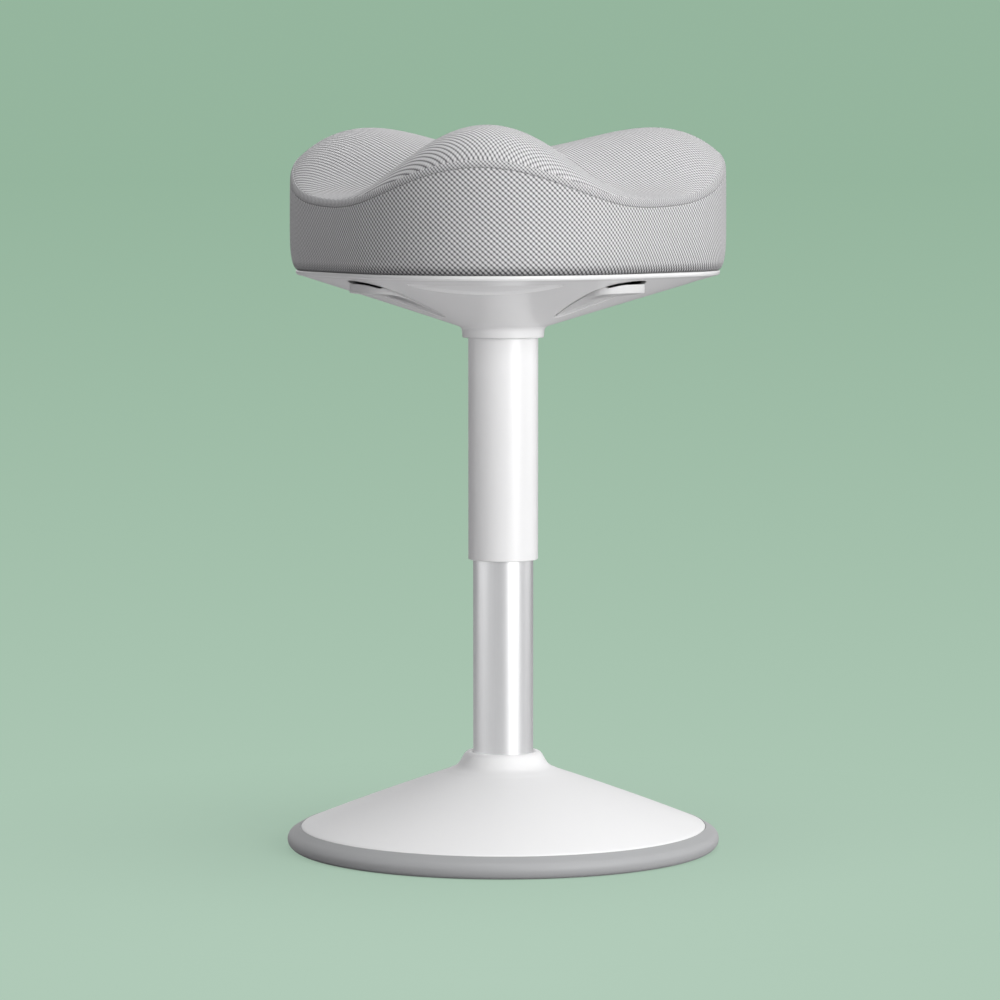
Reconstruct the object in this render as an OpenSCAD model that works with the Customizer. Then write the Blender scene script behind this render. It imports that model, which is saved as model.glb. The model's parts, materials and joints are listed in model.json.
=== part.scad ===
// Height-adjustable standing stool: a three-lobed padded seat on a telescoping column
// and a weighted round base. Millimetres, +Z up, floor at z = 0, column on the Z axis.
// The seat is drawn part-way up its stroke. One lobe of the seat points along -Y.

/* [Seat] */
// Width of the cushion across its two rear lobes, along X
seat_w = 365; // [340:1:390]
// How far each lobe stands out beyond the mean radius of the outline
lobe_reach = 17; // [8:1:17]
// Height of the cushion from the pan's rim to the top of a lobe
cushion_h = 119; // [100:1:130]
// How much higher a lobe's crest lies than the saddle beside it
lobe_rise = 49; // [20:1:56]
// Thickness of the fabric cover with its backing
cover_t = 2; // [1.5:0.1:3]
// Thickness of the plywood board in the cushion
board_t = 12; // [9:1:15]

/* [Column] */
// Height of the pan's rim above the floor, as drawn
rim_z = 480; // [400:1:530]
// Stroke of the lift below the drawn height
stroke_down = 119; // [60:1:119]
// Stroke of the lift above the drawn height
stroke_up = 56; // [0:1:56]
// Outside diameter of the silver column tube
column_d = 50; // [50:0.5:50]
// Outside diameter of the white sleeve
sleeve_d = 58; // [58:0.5:60]
// Diameter of the gas lift's cylinder
cylinder_d = 28; // [27:0.5:29]
// Diameter of the piston rod
rod_d = 10; // [8:0.5:12]

/* [Base] */
// Outside diameter of the rubber ring
base_d = 360; // [340:2:400]
// Height of the white shell's neck
base_h = 80; // [76:1:90]
// Number of ribs on the cast weight
rib_count = 6; // [4:1:8]

/* [Levers] */
// Angle between the front lobe and each lever, seen from above
lever_angle = 51.3; // [50:0.1:56]
// How far a lever turns when it is pulled up
lever_travel = 5; // [3:0.5:5.5]
// Gap round each lever in the pan
lever_gap = 1.3; // [1:0.1:2]

/* [Hidden] */

$fn = 64;
eps = 0.01;
white = [0.93, 0.93, 0.92];
silver = [0.76, 0.77, 0.78];
steel = [0.62, 0.63, 0.65];
dark = [0.16, 0.16, 0.17];
ring_grey = [0.58, 0.59, 0.60];
cloth_grey = [0.70, 0.71, 0.72];

// Outline of the seat: a circle whose radius swells at the three lobes
lobe_count = 3;
around = 72;
front = -90;
seat_r = seat_w / 2 - 5.9;
pan_r = seat_r - 5.1;
bulge = lobe_reach;

// Pan
collar_z = rim_z - 55;
cone_r = 39.2;
cone_z = rim_z - 45;
flat_z = rim_z - 4.7;
flat_in = 5;
wall = 2.7;
sleeve_r = sleeve_d / 2;
collar_top = cone_z + 6;

// Hand-hold scoops: width, then inner edge, corners and outer edge from the column, and depth
scoop_w = 122;
scoop_in = 145;
scoop_chord = 151;
scoop_out = 172.5;
scoop_deep = 6;

// Posts for the clips that hold the board
post_x = 108;
post_turn = 26.5;
post_r = 6;

// Sleeve, plate and socket
sleeve_wall = 1.5;
sleeve_low = 240.5;
ring_t = 1.4;
plate_z = rim_z - 21;
plate_t = 3;
board_z = rim_z + 2;
ear_x = 50;
ear_z = rim_z - 14;

// Column and lift
column_r = column_d / 2;
column_wall = 1.5;
column_low = 10;
column_top = collar_z - 1 - stroke_down;
taper_top = 74;
taper_in = 1.1;
cyl_r = cylinder_d / 2;
cyl_top = rim_z - 18;
cone_len = 35;
cone_in = 0.9;
rod_r = rod_d / 2;
clip_t = 1.1;
clip_z = column_low - 0.3 - clip_t;
groove_r = 3.2;
fit = 0.05;
stack_z = column_low + 2.5;
cyl_low = stack_z + 27.5 + stroke_down;
piston_z = cyl_low + 9 + stroke_up + 6;
bush_len = 74;
button_r = 6.5;
button_top = rim_z - 10;

// Lever: its ends, its top edge, and the two points between which its grip lies flatter
lever_tip = 63;
lever_end = 142.6;
lever_top = rim_z - 0.5 - (lever_end - ear_x) * sin(lever_travel);
lever_wall = 2.4;
grip_from = [100, rim_z - 20.5];
grip_to = [150, rim_z - 16.4];
grip_half = 50;
arm_half = 3;
nose_left = 3.2;
nose_right = 8;
pin_r = 2.5;
pin_len = 19;
spring_x = 28;
spring_r = 3.4;
spring_wire = 1.2;

// Base
base_r = base_d / 2;
pad_t = 4;
disc_z = pad_t;
disc_t = 6;
disc_r = base_r - 15;
shell_r = base_r - 11.3;
shell_edge = 17.8;
shell_wall = 2.8;
screw_ring = 120;

// Radius or height at angle a for a mean and a share of the lobes
function lobed(a, mid, share) = mid + share * cos(lobe_count * (a - front));

// What widens the saddles between the lobes and lifts the rear of the seat
function eased(a, wide, rear) = wide * cos(2 * lobe_count * (a - front)) - rear * cos(a - front);

// A station is [mean radius, radius share of a lobe, height, height share of a lobe], and
// on the cushion two more shares of the height: for wider saddles and for the rear
function station_pt(s, a) = let (
    r = lobed(a, s[0], s[1]),
    z = lobed(a, s[2], s[3]) + (len(s) > 4 ? eased(a, s[4], s[5]) : 0)
) [r * cos(a), r * sin(a), z];

// Every station swept once round the axis; point k of turn i has index i * count + k
function swept(stations) = [
    for (i = [0 : around - 1]) for (s = stations) station_pt(s, i * 360 / around)
];

// Two triangles for the cell between stations k and m, from turn i to the next one.
// A crossed cell is split along its other diagonal.
function cell(i, k, m, count, crossed = false) = let (
    j = (i + 1) % around,
    ik = i * count + k,
    im = i * count + m,
    jk = j * count + k,
    jm = j * count + m
) crossed ? [[ik, im, jk], [jk, im, jm]] : [[ik, jm, jk], [ik, im, jm]];

// A closed loop of stations swept round the axis, such as a skin or a welt
module lobed_loop(stations) {
    count = len(stations);
    faces = [
        for (i = [0 : around - 1]) for (k = [0 : count - 1])
            for (t = cell(i, k, (k + 1) % count, count)) t
    ];
    polyhedron(swept(stations), faces, convexity = 6);
}

// Stations from the underside out to the edge and back in over the top, with both ends closed
module lobed_body(low_z, stations, high_z, crossed = false) {
    count = len(stations);
    low = around * count;
    faces = [
        for (i = [0 : around - 1]) for (k = [0 : count - 2])
            for (t = cell(i, k, k + 1, count, crossed)) t,
        for (i = [0 : around - 1]) [low, i * count, ((i + 1) % around) * count],
        for (i = [0 : around - 1])
            [low + 1, ((i + 1) % around) * count + count - 1, i * count + count - 1]
    ];
    polyhedron(concat(swept(stations), [[0, 0, low_z], [0, 0, high_z]]), faces, convexity = 6);
}

// Height of the cushion's top at share s of the radius: the mean, a lobe's share of it, the
// share that widens the saddles, and the share that lifts the rear edge
function crown(s) = cushion_h * (0.8277 - 0.1454 * pow(s, 2.69) - 0.0516 * pow(s, 14));
function crest(s) = lobe_rise * (1.832 * s * s - 1.515 * pow(s, 4));
function widening(s) = lobe_rise * 0.074 * pow(s, 4);
function rear_lift(s) = lobe_rise * 0.169 * pow(s, 14);

// Station on the cushion's top, sunk below the surface by a depth
function top_station(s, depth) =
    [s * seat_r, s * bulge, rim_z + crown(s) - depth, crest(s), widening(s), rear_lift(s)];

// Station on the cushion's side: inset from the outline at a height
function side_station(inset, z) = [seat_r - inset, bulge, z, 0];

// Station that follows the seam under the top panel, a drop below it
function seam_station(inset, drop) =
    [seat_r - inset, bulge, seam_z - drop, crest(seam_share), widening(seam_share),
        rear_lift(seam_share)];

top_shares = [0.16, 0.34, 0.52, 0.68, 0.8, 0.89, 0.95];
seam_in = 3;
seam_share = 0.985;
seam_z = rim_z + crown(seam_share);
welt_h = 6.3;
foam_gap = 0.1;

// Position helper: the lever's own frame, +X from the column out to the lever
module at_lever(side) {
    rotate([0, 0, front + side * lever_angle]) children();
}

// Points of an arc about a centre
function arc(c, r, a0, a1, n) =
    [for (i = [0 : n]) let (a = a0 + (a1 - a0) * i / n) [c[0] + r * cos(a), c[1] + r * sin(a)]];

// Direction of the outward normal of the tangent that runs over two circles
function tangent(c1, r1, c2, r2) = let (d = c2 - c1)
    atan2(d[1], d[0]) + acos((r1 - r2) / norm(d));

tip_r = 9;
tip_c = [lever_tip + tip_r, 0];
shoulder_c = [117.6, 12.8];
shoulder_r = 15;
corner_r = 5.5;
corner_c = [lever_end - corner_r, 19.3];
tip_a = tangent(tip_c, tip_r, shoulder_c, shoulder_r);
corner_a = tangent(shoulder_c, shoulder_r, corner_c, corner_r);

// Half of the petal outline, from the end of the lever to its tip
function petal_half(g) = concat(
    arc(corner_c, corner_r + g, 0, corner_a, 5),
    arc(shoulder_c, shoulder_r + g, corner_a, tip_a, 6),
    arc(tip_c, tip_r + g, tip_a, 180, 5)
);

// Petal outline of a lever, grown by g
module petal(g) {
    half = petal_half(g);
    back = [for (i = [len(half) - 2 : -1 : 0]) [half[i][0], -half[i][1]]];
    polygon(concat(half, back));
}

// Everything above the pan's outer face, raised by lift
module above_pan(lift) {
    lobed_body(cone_z + lift, [
        [cone_r, 0, cone_z + lift, 0],
        [pan_r - flat_in, bulge, flat_z + lift, 0],
        [pan_r - flat_in, bulge, board_z + 10, 0]
    ], board_z + 10);
}

// Everything above a lever's underside, raised by lift: the pan's face, then a flatter grip
module above_lever(side, lift) {
    above_pan(lift);
    at_lever(side) translate([0, 0, lift]) side_view(grip_half)
        polygon([grip_from, grip_to, [grip_to[0], board_z], [grip_from[0], board_z]]);
}

// Extrudes a side view, drawn in X and Z, by half to either side of the XZ plane
module side_view(half) {
    rotate([90, 0, 0]) translate([0, 0, -half]) linear_extrude(2 * half) children();
}

// Rubber sheet under the base, flush with the ring
module floor_pad() {
    color(dark) cylinder(h = pad_t, r = base_r - 30.2);
}

// Rounded rubber ring: it grips the weight's rim and carries the shell's edge
module base_ring() {
    round_r = 7.5;
    bulge_c = [base_r - round_r, round_r];
    color(ring_grey) rotate_extrude($fn = 128) polygon(concat(
        [[base_r - 30, 0]],
        arc(bulge_c, round_r, -90, 62.7, 12),
        [[shell_r + 0.2, shell_edge], [shell_r + 0.2, shell_edge - 3.3]],
        [[disc_r - 7, shell_edge - 3.3], [disc_r - 7, disc_z + disc_t + fit]],
        [[disc_r + fit, disc_z + disc_t + fit], [disc_r + fit, disc_z - fit]],
        [[base_r - 30, disc_z - fit]]
    ));
}

// Cast iron weight: disc, ribs and a tapered hub that the column tube drives into
module base_weight() {
    hub_r = 29.5;
    color(steel) difference() {
        union() {
            translate([0, 0, disc_z]) cylinder(h = disc_t, r = disc_r, $fn = 128);
            cylinder_at(disc_z, taper_top - disc_z, hub_r);
            for (i = [0 : rib_count - 1]) rotate([0, 0, (i + 0.5) * 360 / rib_count])
                rotate([90, 0, 0]) translate([0, 0, -3]) linear_extrude(6)
                    polygon([[hub_r - 2, disc_z + 1], [150, disc_z + 1], [150, 17],
                        [hub_r + 8, 56], [hub_r - 2, 60]]);
        }
        hub_taper(fit);
        cylinder_at(disc_z - 1, column_low - disc_z + 2, column_r - taper_in - 1);
        for (i = [0 : rib_count - 1]) rotate([0, 0, i * 360 / rib_count])
            translate([screw_ring, 0, 0]) {
                cylinder_at(disc_z - 1, disc_t + 2, 2.3);
                cylinder_at(disc_z - 1, 4.2, 5);
            }
    }
}

// Cylinder of radius r that starts at height z
module cylinder_at(z, h, r) {
    translate([0, 0, z]) cylinder(h = h, r = r);
}

// Taper at the foot of the column tube, grown by g
module hub_taper(g) {
    translate([0, 0, column_low])
        cylinder(h = taper_top - column_low, r1 = column_r - taper_in + g, r2 = column_r + g);
    cylinder_at(taper_top - eps, 10, column_r + g);
}

// Outer curve of the white shell, a shallow arch from the rim up to the fillet
function shell_z(r) = 41.7 - 0.3774 * (r - 108) - 0.9 * pow((r - 108) / 61, 2);

// White plastic shell over the weight, with screw bosses inside
module base_shell() {
    neck_r = 31.3;
    lip_r = 25.7;
    fillet_r = 46;
    steps = 10;
    outer = [for (i = [0 : steps]) let (r = shell_r - (shell_r - fillet_r) * i / steps)
        [r, shell_z(r)]];
    neck = [[42.3, 65.6], [39.4, 67.2], [37.6, 69], [36.3, 70.8], [34.7, 73], [33.3, 75.4],
        [32.1, 77.6], [31.1, 79.0], [29.8, 79.8], [28.6, base_h], [27.2, base_h],
        [26.2, 79.4], [lip_r, 78.4], [lip_r, 76.2]];
    under = [[28.4, 75.6], [30.4, 73.6], [32.0, 71.2], [34.2, 67.8], [37.5, 65.0]];
    inner = [for (i = [steps : -1 : 0]) let (r = shell_r - 2.6 - (shell_r - 2.6 - 43) * i / steps)
        [r, shell_z(r) - shell_wall]];
    color(white) difference() {
        union() {
            rotate_extrude($fn = 128) polygon(concat(
                [[shell_r, shell_edge - 3.2]], outer, neck, under, inner,
                [[shell_r - 2.6, shell_edge - 3.2]]
            ));
            for (i = [0 : rib_count - 1]) rotate([0, 0, i * 360 / rib_count])
                translate([screw_ring, 0, 0]) cylinder_at(disc_z + disc_t, 24, 4.6);
        }
        for (i = [0 : rib_count - 1]) rotate([0, 0, i * 360 / rib_count])
            translate([screw_ring, 0, 0]) cylinder_at(disc_z, 24, 1.95);
    }
}

// Screws up through the weight into the shell's bosses
module shell_screws() {
    color(steel) for (i = [0 : rib_count - 1]) rotate([0, 0, i * 360 / rib_count])
        translate([screw_ring, 0, 0]) {
            cylinder_at(disc_z + 0.1, 3, 4.2);
            cylinder_at(disc_z + 3, 18, 1.9);
        }
}

// Silver column tube: tapered foot, rolled floor with a hole for the rod's end
module column_tube() {
    inner_r = column_r - column_wall;
    color(silver) difference() {
        union() {
            hub_taper(0);
            cylinder_at(taper_top, column_top - taper_top, column_r);
        }
        translate([0, 0, stack_z])
            cylinder(h = taper_top - stack_z, r1 = inner_r - taper_in, r2 = inner_r);
        cylinder_at(taper_top - eps, column_top, inner_r);
        cylinder_at(0, 20, 6.2);
        translate([0, 0, column_top - 0.6])
            cylinder(h = 0.7, r1 = inner_r, r2 = inner_r + 0.6);
    }
}

// Plastic bush in the mouth of the column tube, relieved between its two bands
module guide_bush() {
    band_r = column_r - column_wall - 0.02;
    top = column_top + 2;
    low = top - bush_len;
    color(dark) rotate_extrude() polygon([
        [cyl_r + fit, low], [band_r, low], [band_r, low + 16], [band_r - 3, low + 19],
        [band_r - 3, top - 22], [band_r, top - 19], [band_r, column_top - 0.6],
        [band_r + 0.62, column_top], [column_r - 0.2, column_top], [column_r - 0.5, top - 0.4],
        [column_r - 1, top], [cyl_r + 1, top], [cyl_r + fit, top - 1]
    ]);
}

// Lower race on the tube's floor
module column_washer() {
    washer(stack_z, 1.5, 6.2, 14);
}

// Washer of thickness t on height z
module washer(z, t, hole, rim) {
    color(steel) difference() {
        cylinder_at(z, t, rim);
        cylinder_at(z - 1, t + 2, hole);
    }
}

// Ball cage between the races
module thrust_bearing() {
    ball_r = 2;
    cage_z = stack_z + 1.5 + ball_r;
    color(steel) union() {
        difference() {
            cylinder_at(cage_z - 0.9, 1.8, 13.4);
            cylinder_at(cage_z - 2, 4, 6.2);
        }
        for (i = [0 : 9]) rotate([0, 0, i * 36])
            translate([9.8, 0, cage_z]) sphere(ball_r, $fn = 24);
    }
}

// Upper race, held by the rod's shoulder
module rod_washer() {
    washer(stack_z + 5.55, 1.5, 4.1, 13);
}

// Rubber stop that the cylinder meets at the bottom of its stroke
module bump_stop() {
    color(dark) rotate_extrude() polygon([
        [rod_r + fit, stack_z + 7.1], [12.5, stack_z + 7.1], [12.5, stack_z + 12],
        [10.5, stack_z + 14], [10.5, stack_z + 22], [9.5, stack_z + 24], [rod_r + fit, stack_z + 24]
    ]);
}

// Piston rod with a stepped foot and a grooved end for its clip
module piston_rod() {
    foot_r = 4;
    shoulder = stack_z + 7.08;
    color(steel) difference() {
        union() {
            cylinder_at(shoulder, piston_z + 6 - shoulder, rod_r);
            cylinder_at(column_low - 4.6, shoulder - column_low + 4.7, foot_r);
            cylinder_at(piston_z + 6 - eps, 10, 3.2);
        }
        difference() {
            cylinder_at(clip_z - 0.05, clip_t + 0.1, 6);
            cylinder_at(clip_z - 1, clip_t + 2, groove_r);
        }
    }
}

// Spring clip under the tube's floor
module rod_clip() {
    color(dark) difference() {
        cylinder_at(clip_z, clip_t, 7.6);
        cylinder_at(clip_z - 1, clip_t + 2, groove_r + 0.05);
        cylinder_of(clip_z - 1, clip_t + 2) polygon([[0, 0], [9, -5], [9, 5]]);
    }
}

// Piston on the rod's upper end, with a seal groove
module piston() {
    bore_r = 11.5;
    z = piston_z + 6;
    color(silver) rotate_extrude() polygon([
        [3.25, z + 0.05], [bore_r - 0.08, z + 0.05], [bore_r - 0.08, z + 2.4],
        [bore_r - 1.4, z + 2.4], [bore_r - 1.4, z + 4.6], [bore_r - 0.08, z + 4.6],
        [bore_r - 0.08, z + 7], [bore_r - 2, z + 8], [3.25, z + 8]
    ]);
}

// Gas lift cylinder: it rises from the column and its cone seats in the socket
module lift_cylinder() {
    bore_r = 11.5;
    block_z = cyl_top - 22;
    color(dark) rotate_extrude() polygon([
        [bore_r, cyl_low], [cyl_r - 0.8, cyl_low], [cyl_r, cyl_low + 0.8],
        [cyl_r, cyl_top - cone_len], [cyl_r - cone_in, cyl_top], [4, cyl_top],
        [4, cyl_top - 12], [bore_r - 3, block_z], [bore_r, block_z - 3]
    ]);
}

// Seal and guide that close the cylinder's mouth round the rod
module rod_guide() {
    color(dark) difference() {
        cylinder_at(cyl_low, 9, 11.48);
        cylinder_at(cyl_low - 1, 12, rod_r + fit);
    }
}

// Valve button in the top of the cylinder
module valve_button() {
    color(steel) rotate_extrude() polygon([
        [0, cyl_top - 7], [2.4, cyl_top - 7], [3.95, cyl_top - 5.5], [3.95, button_top - 3],
        [button_r, button_top - 3], [button_r, button_top - 0.6], [button_r - 0.6, button_top],
        [0, button_top]
    ]);
}

// Steel socket, welded in the plate, with the cone that the cylinder seats in
module lift_socket() {
    low = cyl_top - cone_len;
    seat_gap = cyl_r + 0.02;
    color(steel) difference() {
        union() {
            cylinder_at(low, cone_len, 20);
            cylinder_at(plate_z + plate_t, cyl_top - plate_z - plate_t + 0.6, 22.5);
        }
        translate([0, 0, low]) cylinder(h = cone_len, r1 = seat_gap, r2 = seat_gap - cone_in);
        cylinder_at(low - 1, 1.01, seat_gap);
        cylinder_at(cyl_top - eps, 3, seat_gap - cone_in);
    }
}

// Pressed steel plate: a dish with a rim under the board and ears for the lever pins
module seat_plate() {
    dish_r = 60;
    rim_in = 73;
    rim_out = 92;
    slot_half = arm_half + 0.7;
    top = board_z;
    color(steel) difference() {
        union() {
            rotate_extrude() polygon([
                [20.02, plate_z], [dish_r, plate_z], [rim_in - 1, top - plate_t],
                [rim_out, top - plate_t], [rim_out, top], [rim_in - 3, top],
                [dish_r - 2, plate_z + plate_t], [20.02, plate_z + plate_t]
            ]);
            for (side = [-1, 1]) at_lever(side) for (v = [-1, 1]) translate([0, v * 6, 0])
                side_view(1.25) polygon([
                    [ear_x - 9, plate_z + 1], [ear_x + 8, plate_z + 1], [ear_x + 8, plate_z + 4],
                    [ear_x + 4, ear_z + 5], [ear_x - 4, ear_z + 5]
                ]);
        }
        for (side = [-1, 1]) at_lever(side) {
            pin_hole(pin_r + 0.01);
            translate([ear_x - 8, -slot_half, plate_z - 1])
                cube([rim_in - ear_x + 10, 2 * slot_half, 19]);
        }
        for (i = [0 : 3]) rotate([0, 0, i * 90]) translate([83, 0, top - plate_t - 1])
            cylinder(h = plate_t + 2, r = 3.3, $fn = 32);
    }
}

// Screws that hold the plate to the board
module plate_screws() {
    color(steel) for (i = [0 : 3]) rotate([0, 0, i * 90]) translate([83, 0, 0]) {
        cylinder_at(board_z - plate_t - 4, 4, 5.5);
        cylinder_at(board_z - plate_t - 0.1, 13.5, 2.95);
    }
}

// Threaded inserts let into the board
module tee_nuts() {
    color(steel) for (i = [0 : 3]) rotate([0, 0, i * 90]) translate([83, 0, 0])
        difference() {
            union() {
                cylinder_at(board_z + 1, board_t - 2, 3.95);
                cylinder_at(board_z + board_t - 1.5, 1.4, 8.9);
            }
            cylinder_at(board_z, board_t + 2, 2.98);
        }
}

// White sleeve: it slides down over the column tube
module upper_sleeve() {
    edge = 0.8;
    color(white) rotate_extrude($fn = 96) polygon([
        [sleeve_r - sleeve_wall, sleeve_low], [sleeve_r - edge, sleeve_low],
        [sleeve_r - 0.25, sleeve_low + 0.3], [sleeve_r, sleeve_low + edge],
        [sleeve_r, collar_top - 0.02], [sleeve_r - 0.7, collar_top - 0.02],
        [sleeve_r - 0.7, collar_top + ring_t + 0.02], [sleeve_r, collar_top + ring_t + 0.02],
        [sleeve_r, plate_z - 0.05], [sleeve_r - sleeve_wall, plate_z - 0.05]
    ]);
}

// Glide ring inside the sleeve's mouth
module sleeve_glide() {
    color(white) rotate_extrude() polygon([
        [column_r + 0.08, sleeve_low + 2], [sleeve_r - sleeve_wall - 0.02, sleeve_low + 2],
        [sleeve_r - sleeve_wall - 0.02, sleeve_low + 16], [column_r + 0.9, sleeve_low + 16],
        [column_r + 0.08, sleeve_low + 14]
    ]);
}

// Ring in the sleeve's groove: it hangs the sleeve on the pan's collar
module sleeve_ring() {
    color(steel) difference() {
        cylinder_at(collar_top, ring_t, sleeve_r + 3.4);
        cylinder_at(collar_top - 1, ring_t + 2, sleeve_r - 0.69);
    }
}

// Height of the pan's outer face at a point
function pan_z(x, y) = let (a = atan2(y, x), r = norm([x, y]), edge = lobed(a, pan_r - flat_in, bulge))
    cone_z + (flat_z - cone_z) * (r - cone_r) / (edge - cone_r);

// Hand-hold under a lobe: a half-moon seen from below, domed up into the pan.
// It is grown by grow, and its foot lies above the pan's face by lift.
module scoop(grow, lift) {
    half_w = scoop_w / 2 + grow;
    inner_r = scoop_in - grow;
    outer_r = scoop_out + grow;
    depth = scoop_deep + grow * 0.8;
    ceiling = rim_z - 2.2 + grow * 0.7;
    turns = 12;
    across = 6;
    function foot(x, r) = pan_z(x, -r) + lift;
    // A row is [x, inner radius, outer radius, depth]; k counts across it
    function dome(row, k) = let (
        u = (1 - cos(180 * k / across)) / 2,
        r = row[1] + (row[2] - row[1]) * u,
        swell = row[3] * pow(sin(180 * k / across), 0.7) * (1.2 - 0.2 * u)
    ) [row[0], -r, min(foot(row[0], r) + swell, ceiling)];
    function keel_pt(row) = let (r = (row[1] + row[2]) / 2) [row[0], -r, foot(row[0], r)];
    rows = [for (i = [1 : turns - 1]) let (t = cos(180 * i / turns), q = 1 - t * t) [
        half_w * t, scoop_chord - (scoop_chord - inner_r) * q,
        scoop_chord + (outer_r - scoop_chord) * q, depth * sqrt(q)
    ]];
    tip_z = foot(half_w, scoop_chord);
    points = concat(
        [[half_w, -scoop_chord, tip_z], [-half_w, -scoop_chord, tip_z]],
        [for (row = rows) for (k = [0 : across]) dome(row, k)],
        [for (row = rows) keel_pt(row)]
    );
    per = across + 1;
    n = len(rows);
    last = 2 + (n - 1) * per;
    keel = 2 + n * per;
    faces = concat(
        [for (i = [0 : n - 2]) for (k = [0 : across - 1]) let (a = 2 + i * per + k, b = a + per)
            each [[a, b + 1, b], [a, a + 1, b + 1]]],
        [for (i = [0 : n - 2]) let (a = 2 + i * per, b = a + per, c = keel + i)
            each [[a, c + 1, c], [a, b, c + 1], [c, b + across, a + across],
                [c, c + 1, b + across]]],
        [for (k = [0 : across - 1]) [0, 2 + k + 1, 2 + k]],
        [[0, 2, keel], [0, keel, 2 + across]],
        [for (k = [0 : across - 1]) [1, last + k, last + k + 1]],
        [[1, keel + n - 1, last], [1, last + across, keel + n - 1]]
    );
    polyhedron(points, faces, convexity = 4);
}

// Pan: collar, cone and rim as one lofted shell with lever windows and hand-hold scoops
module seat_pan() {
    rim = pan_r;
    bore = sleeve_r + 0.03;
    color(white) difference() {
        union() {
            lobed_loop([
                [34.2, 0, collar_z, 0], [35.1, 0, collar_z + 0.4, 0], [36, 0, cone_z - 3, 0],
                [37.2, 0, cone_z - 1, 0], [cone_r, 0, cone_z, 0],
                [rim - flat_in, bulge, flat_z, 0], [rim - 1.2, bulge, rim_z - 3.9, 0],
                [rim, bulge, rim_z - 2.6, 0], [rim, bulge, rim_z - 0.7, 0],
                [rim - 0.7, bulge, rim_z, 0], [rim - 3.5, bulge, rim_z, 0],
                [rim - 5.5, bulge, flat_z + wall, 0], [cone_r + 1.5, 0, cone_z + wall + 0.4, 0],
                [36.5, 0, collar_top, 0], [bore - 0.8, 0, collar_top, 0],
                [bore - 0.8, 0, collar_z, 0]
            ]);
            for (i = [0 : 2]) rotate([0, 0, i * 120]) scoop(2.2, 0.8);
            each_post() cylinder_at_x(post_x, pan_z(post_x, 0) + 1.2,
                board_z - pan_z(post_x, 0) - 1.3, post_r);
        }
        cylinder_at(collar_z - 1, 20, bore);
        each_post() cylinder_at_x(post_x, rim_z - 10, 20, 2.65);
        for (i = [0 : 2]) rotate([0, 0, i * 120]) scoop(0, -0.6);
        for (side = [-1, 1]) at_lever(side)
            translate([0, 0, cone_z]) linear_extrude(60) petal(lever_gap);
    }
}

// Places its child at the six posts, two beside each lobe
module each_post() {
    for (i = [0 : 2]) for (v = [-1, 1]) rotate([0, 0, front + i * 120 + v * post_turn]) children();
}

// Cylinder that stands at a distance x from the axis
module cylinder_at_x(x, z, h, r, turns = 32) {
    translate([x, 0, z]) cylinder(h = h, r = r, $fn = turns);
}

// Push-in clips that fasten the board to the pan's posts
module pan_clips() {
    color(dark) each_post() {
        cylinder_at_x(post_x, rim_z - 9.8, 19, 2);
        for (z = [-7 : 3 : 8]) translate([post_x, 0, rim_z + z])
            cylinder(h = 1.6, r1 = 2, r2 = 2.55, $fn = 32);
    }
}

// Lever: petal paddle flush with the pan at its tip, an arm over its pin, and a nose
module lever(side, nose) {
    color(white) difference() {
        union() {
            difference() {
                intersection() {
                    above_lever(side, 0);
                    at_lever(side) cylinder_of(cone_z, lever_top - cone_z) petal(0);
                    lever_ceiling(side);
                }
                intersection() {
                    above_lever(side, lever_wall);
                    at_lever(side) cylinder_of(cone_z, 60) petal(-lever_wall);
                }
            }
            at_lever(side) lever_arm(nose);
        }
        at_lever(side) pin_hole(pin_r + 0.06);
    }
}

// Extrudes a plan upwards from height z
module cylinder_of(z, h) {
    translate([0, 0, z]) linear_extrude(h) children();
}

// Cylinder on a lever's pivot, in the lever's own frame
module pin_hole(r, length = 24) {
    translate([ear_x, 0, ear_z]) rotate([90, 0, 0])
        translate([0, 0, -length / 2]) cylinder(h = length, r = r, $fn = 32);
}

// Space below the lever's top edge, which slopes down towards the tip
module lever_ceiling(side) {
    at_lever(side) side_view(grip_half) polygon([
        [ear_x, cone_z], [grip_to[0], cone_z], [grip_to[0], lever_top], [128, lever_top],
        [lever_tip - 4, rim_z - 24]
    ]);
}

// Arm of a lever, seen from the side: from the nose over the spring and the pin to the paddle
module lever_arm(nose) {
    under_z = button_top + 0.05;
    back_z = button_top + 4.5;
    root = lever_tip + 34;
    side_view(arm_half) polygon([
        [nose, under_z], [spring_x + 6, under_z], [ear_x - 5, ear_z - 2], [ear_x - 3, ear_z - 4.8],
        [ear_x, ear_z - 5.6], [ear_x + 4, ear_z - 5.4], [lever_tip + 8, cone_z + 16.5],
        [lever_tip + 11, cone_z + 14.5], [root, cone_z + 22.5], [root, cone_z + 29],
        [ear_x + 6, ear_z + 4.6], [ear_x, ear_z + 5.6], [spring_x + 6, back_z],
        [nose + 1, back_z], [nose, back_z - 1]
    ]);
}

module lever_left() {
    lever(-1, nose_left);
}

module lever_right() {
    lever(1, nose_right);
}

// Pins through the plate's ears
module lever_pins() {
    color(steel) for (side = [-1, 1]) at_lever(side) pin_hole(pin_r, pin_len);
}

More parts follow.
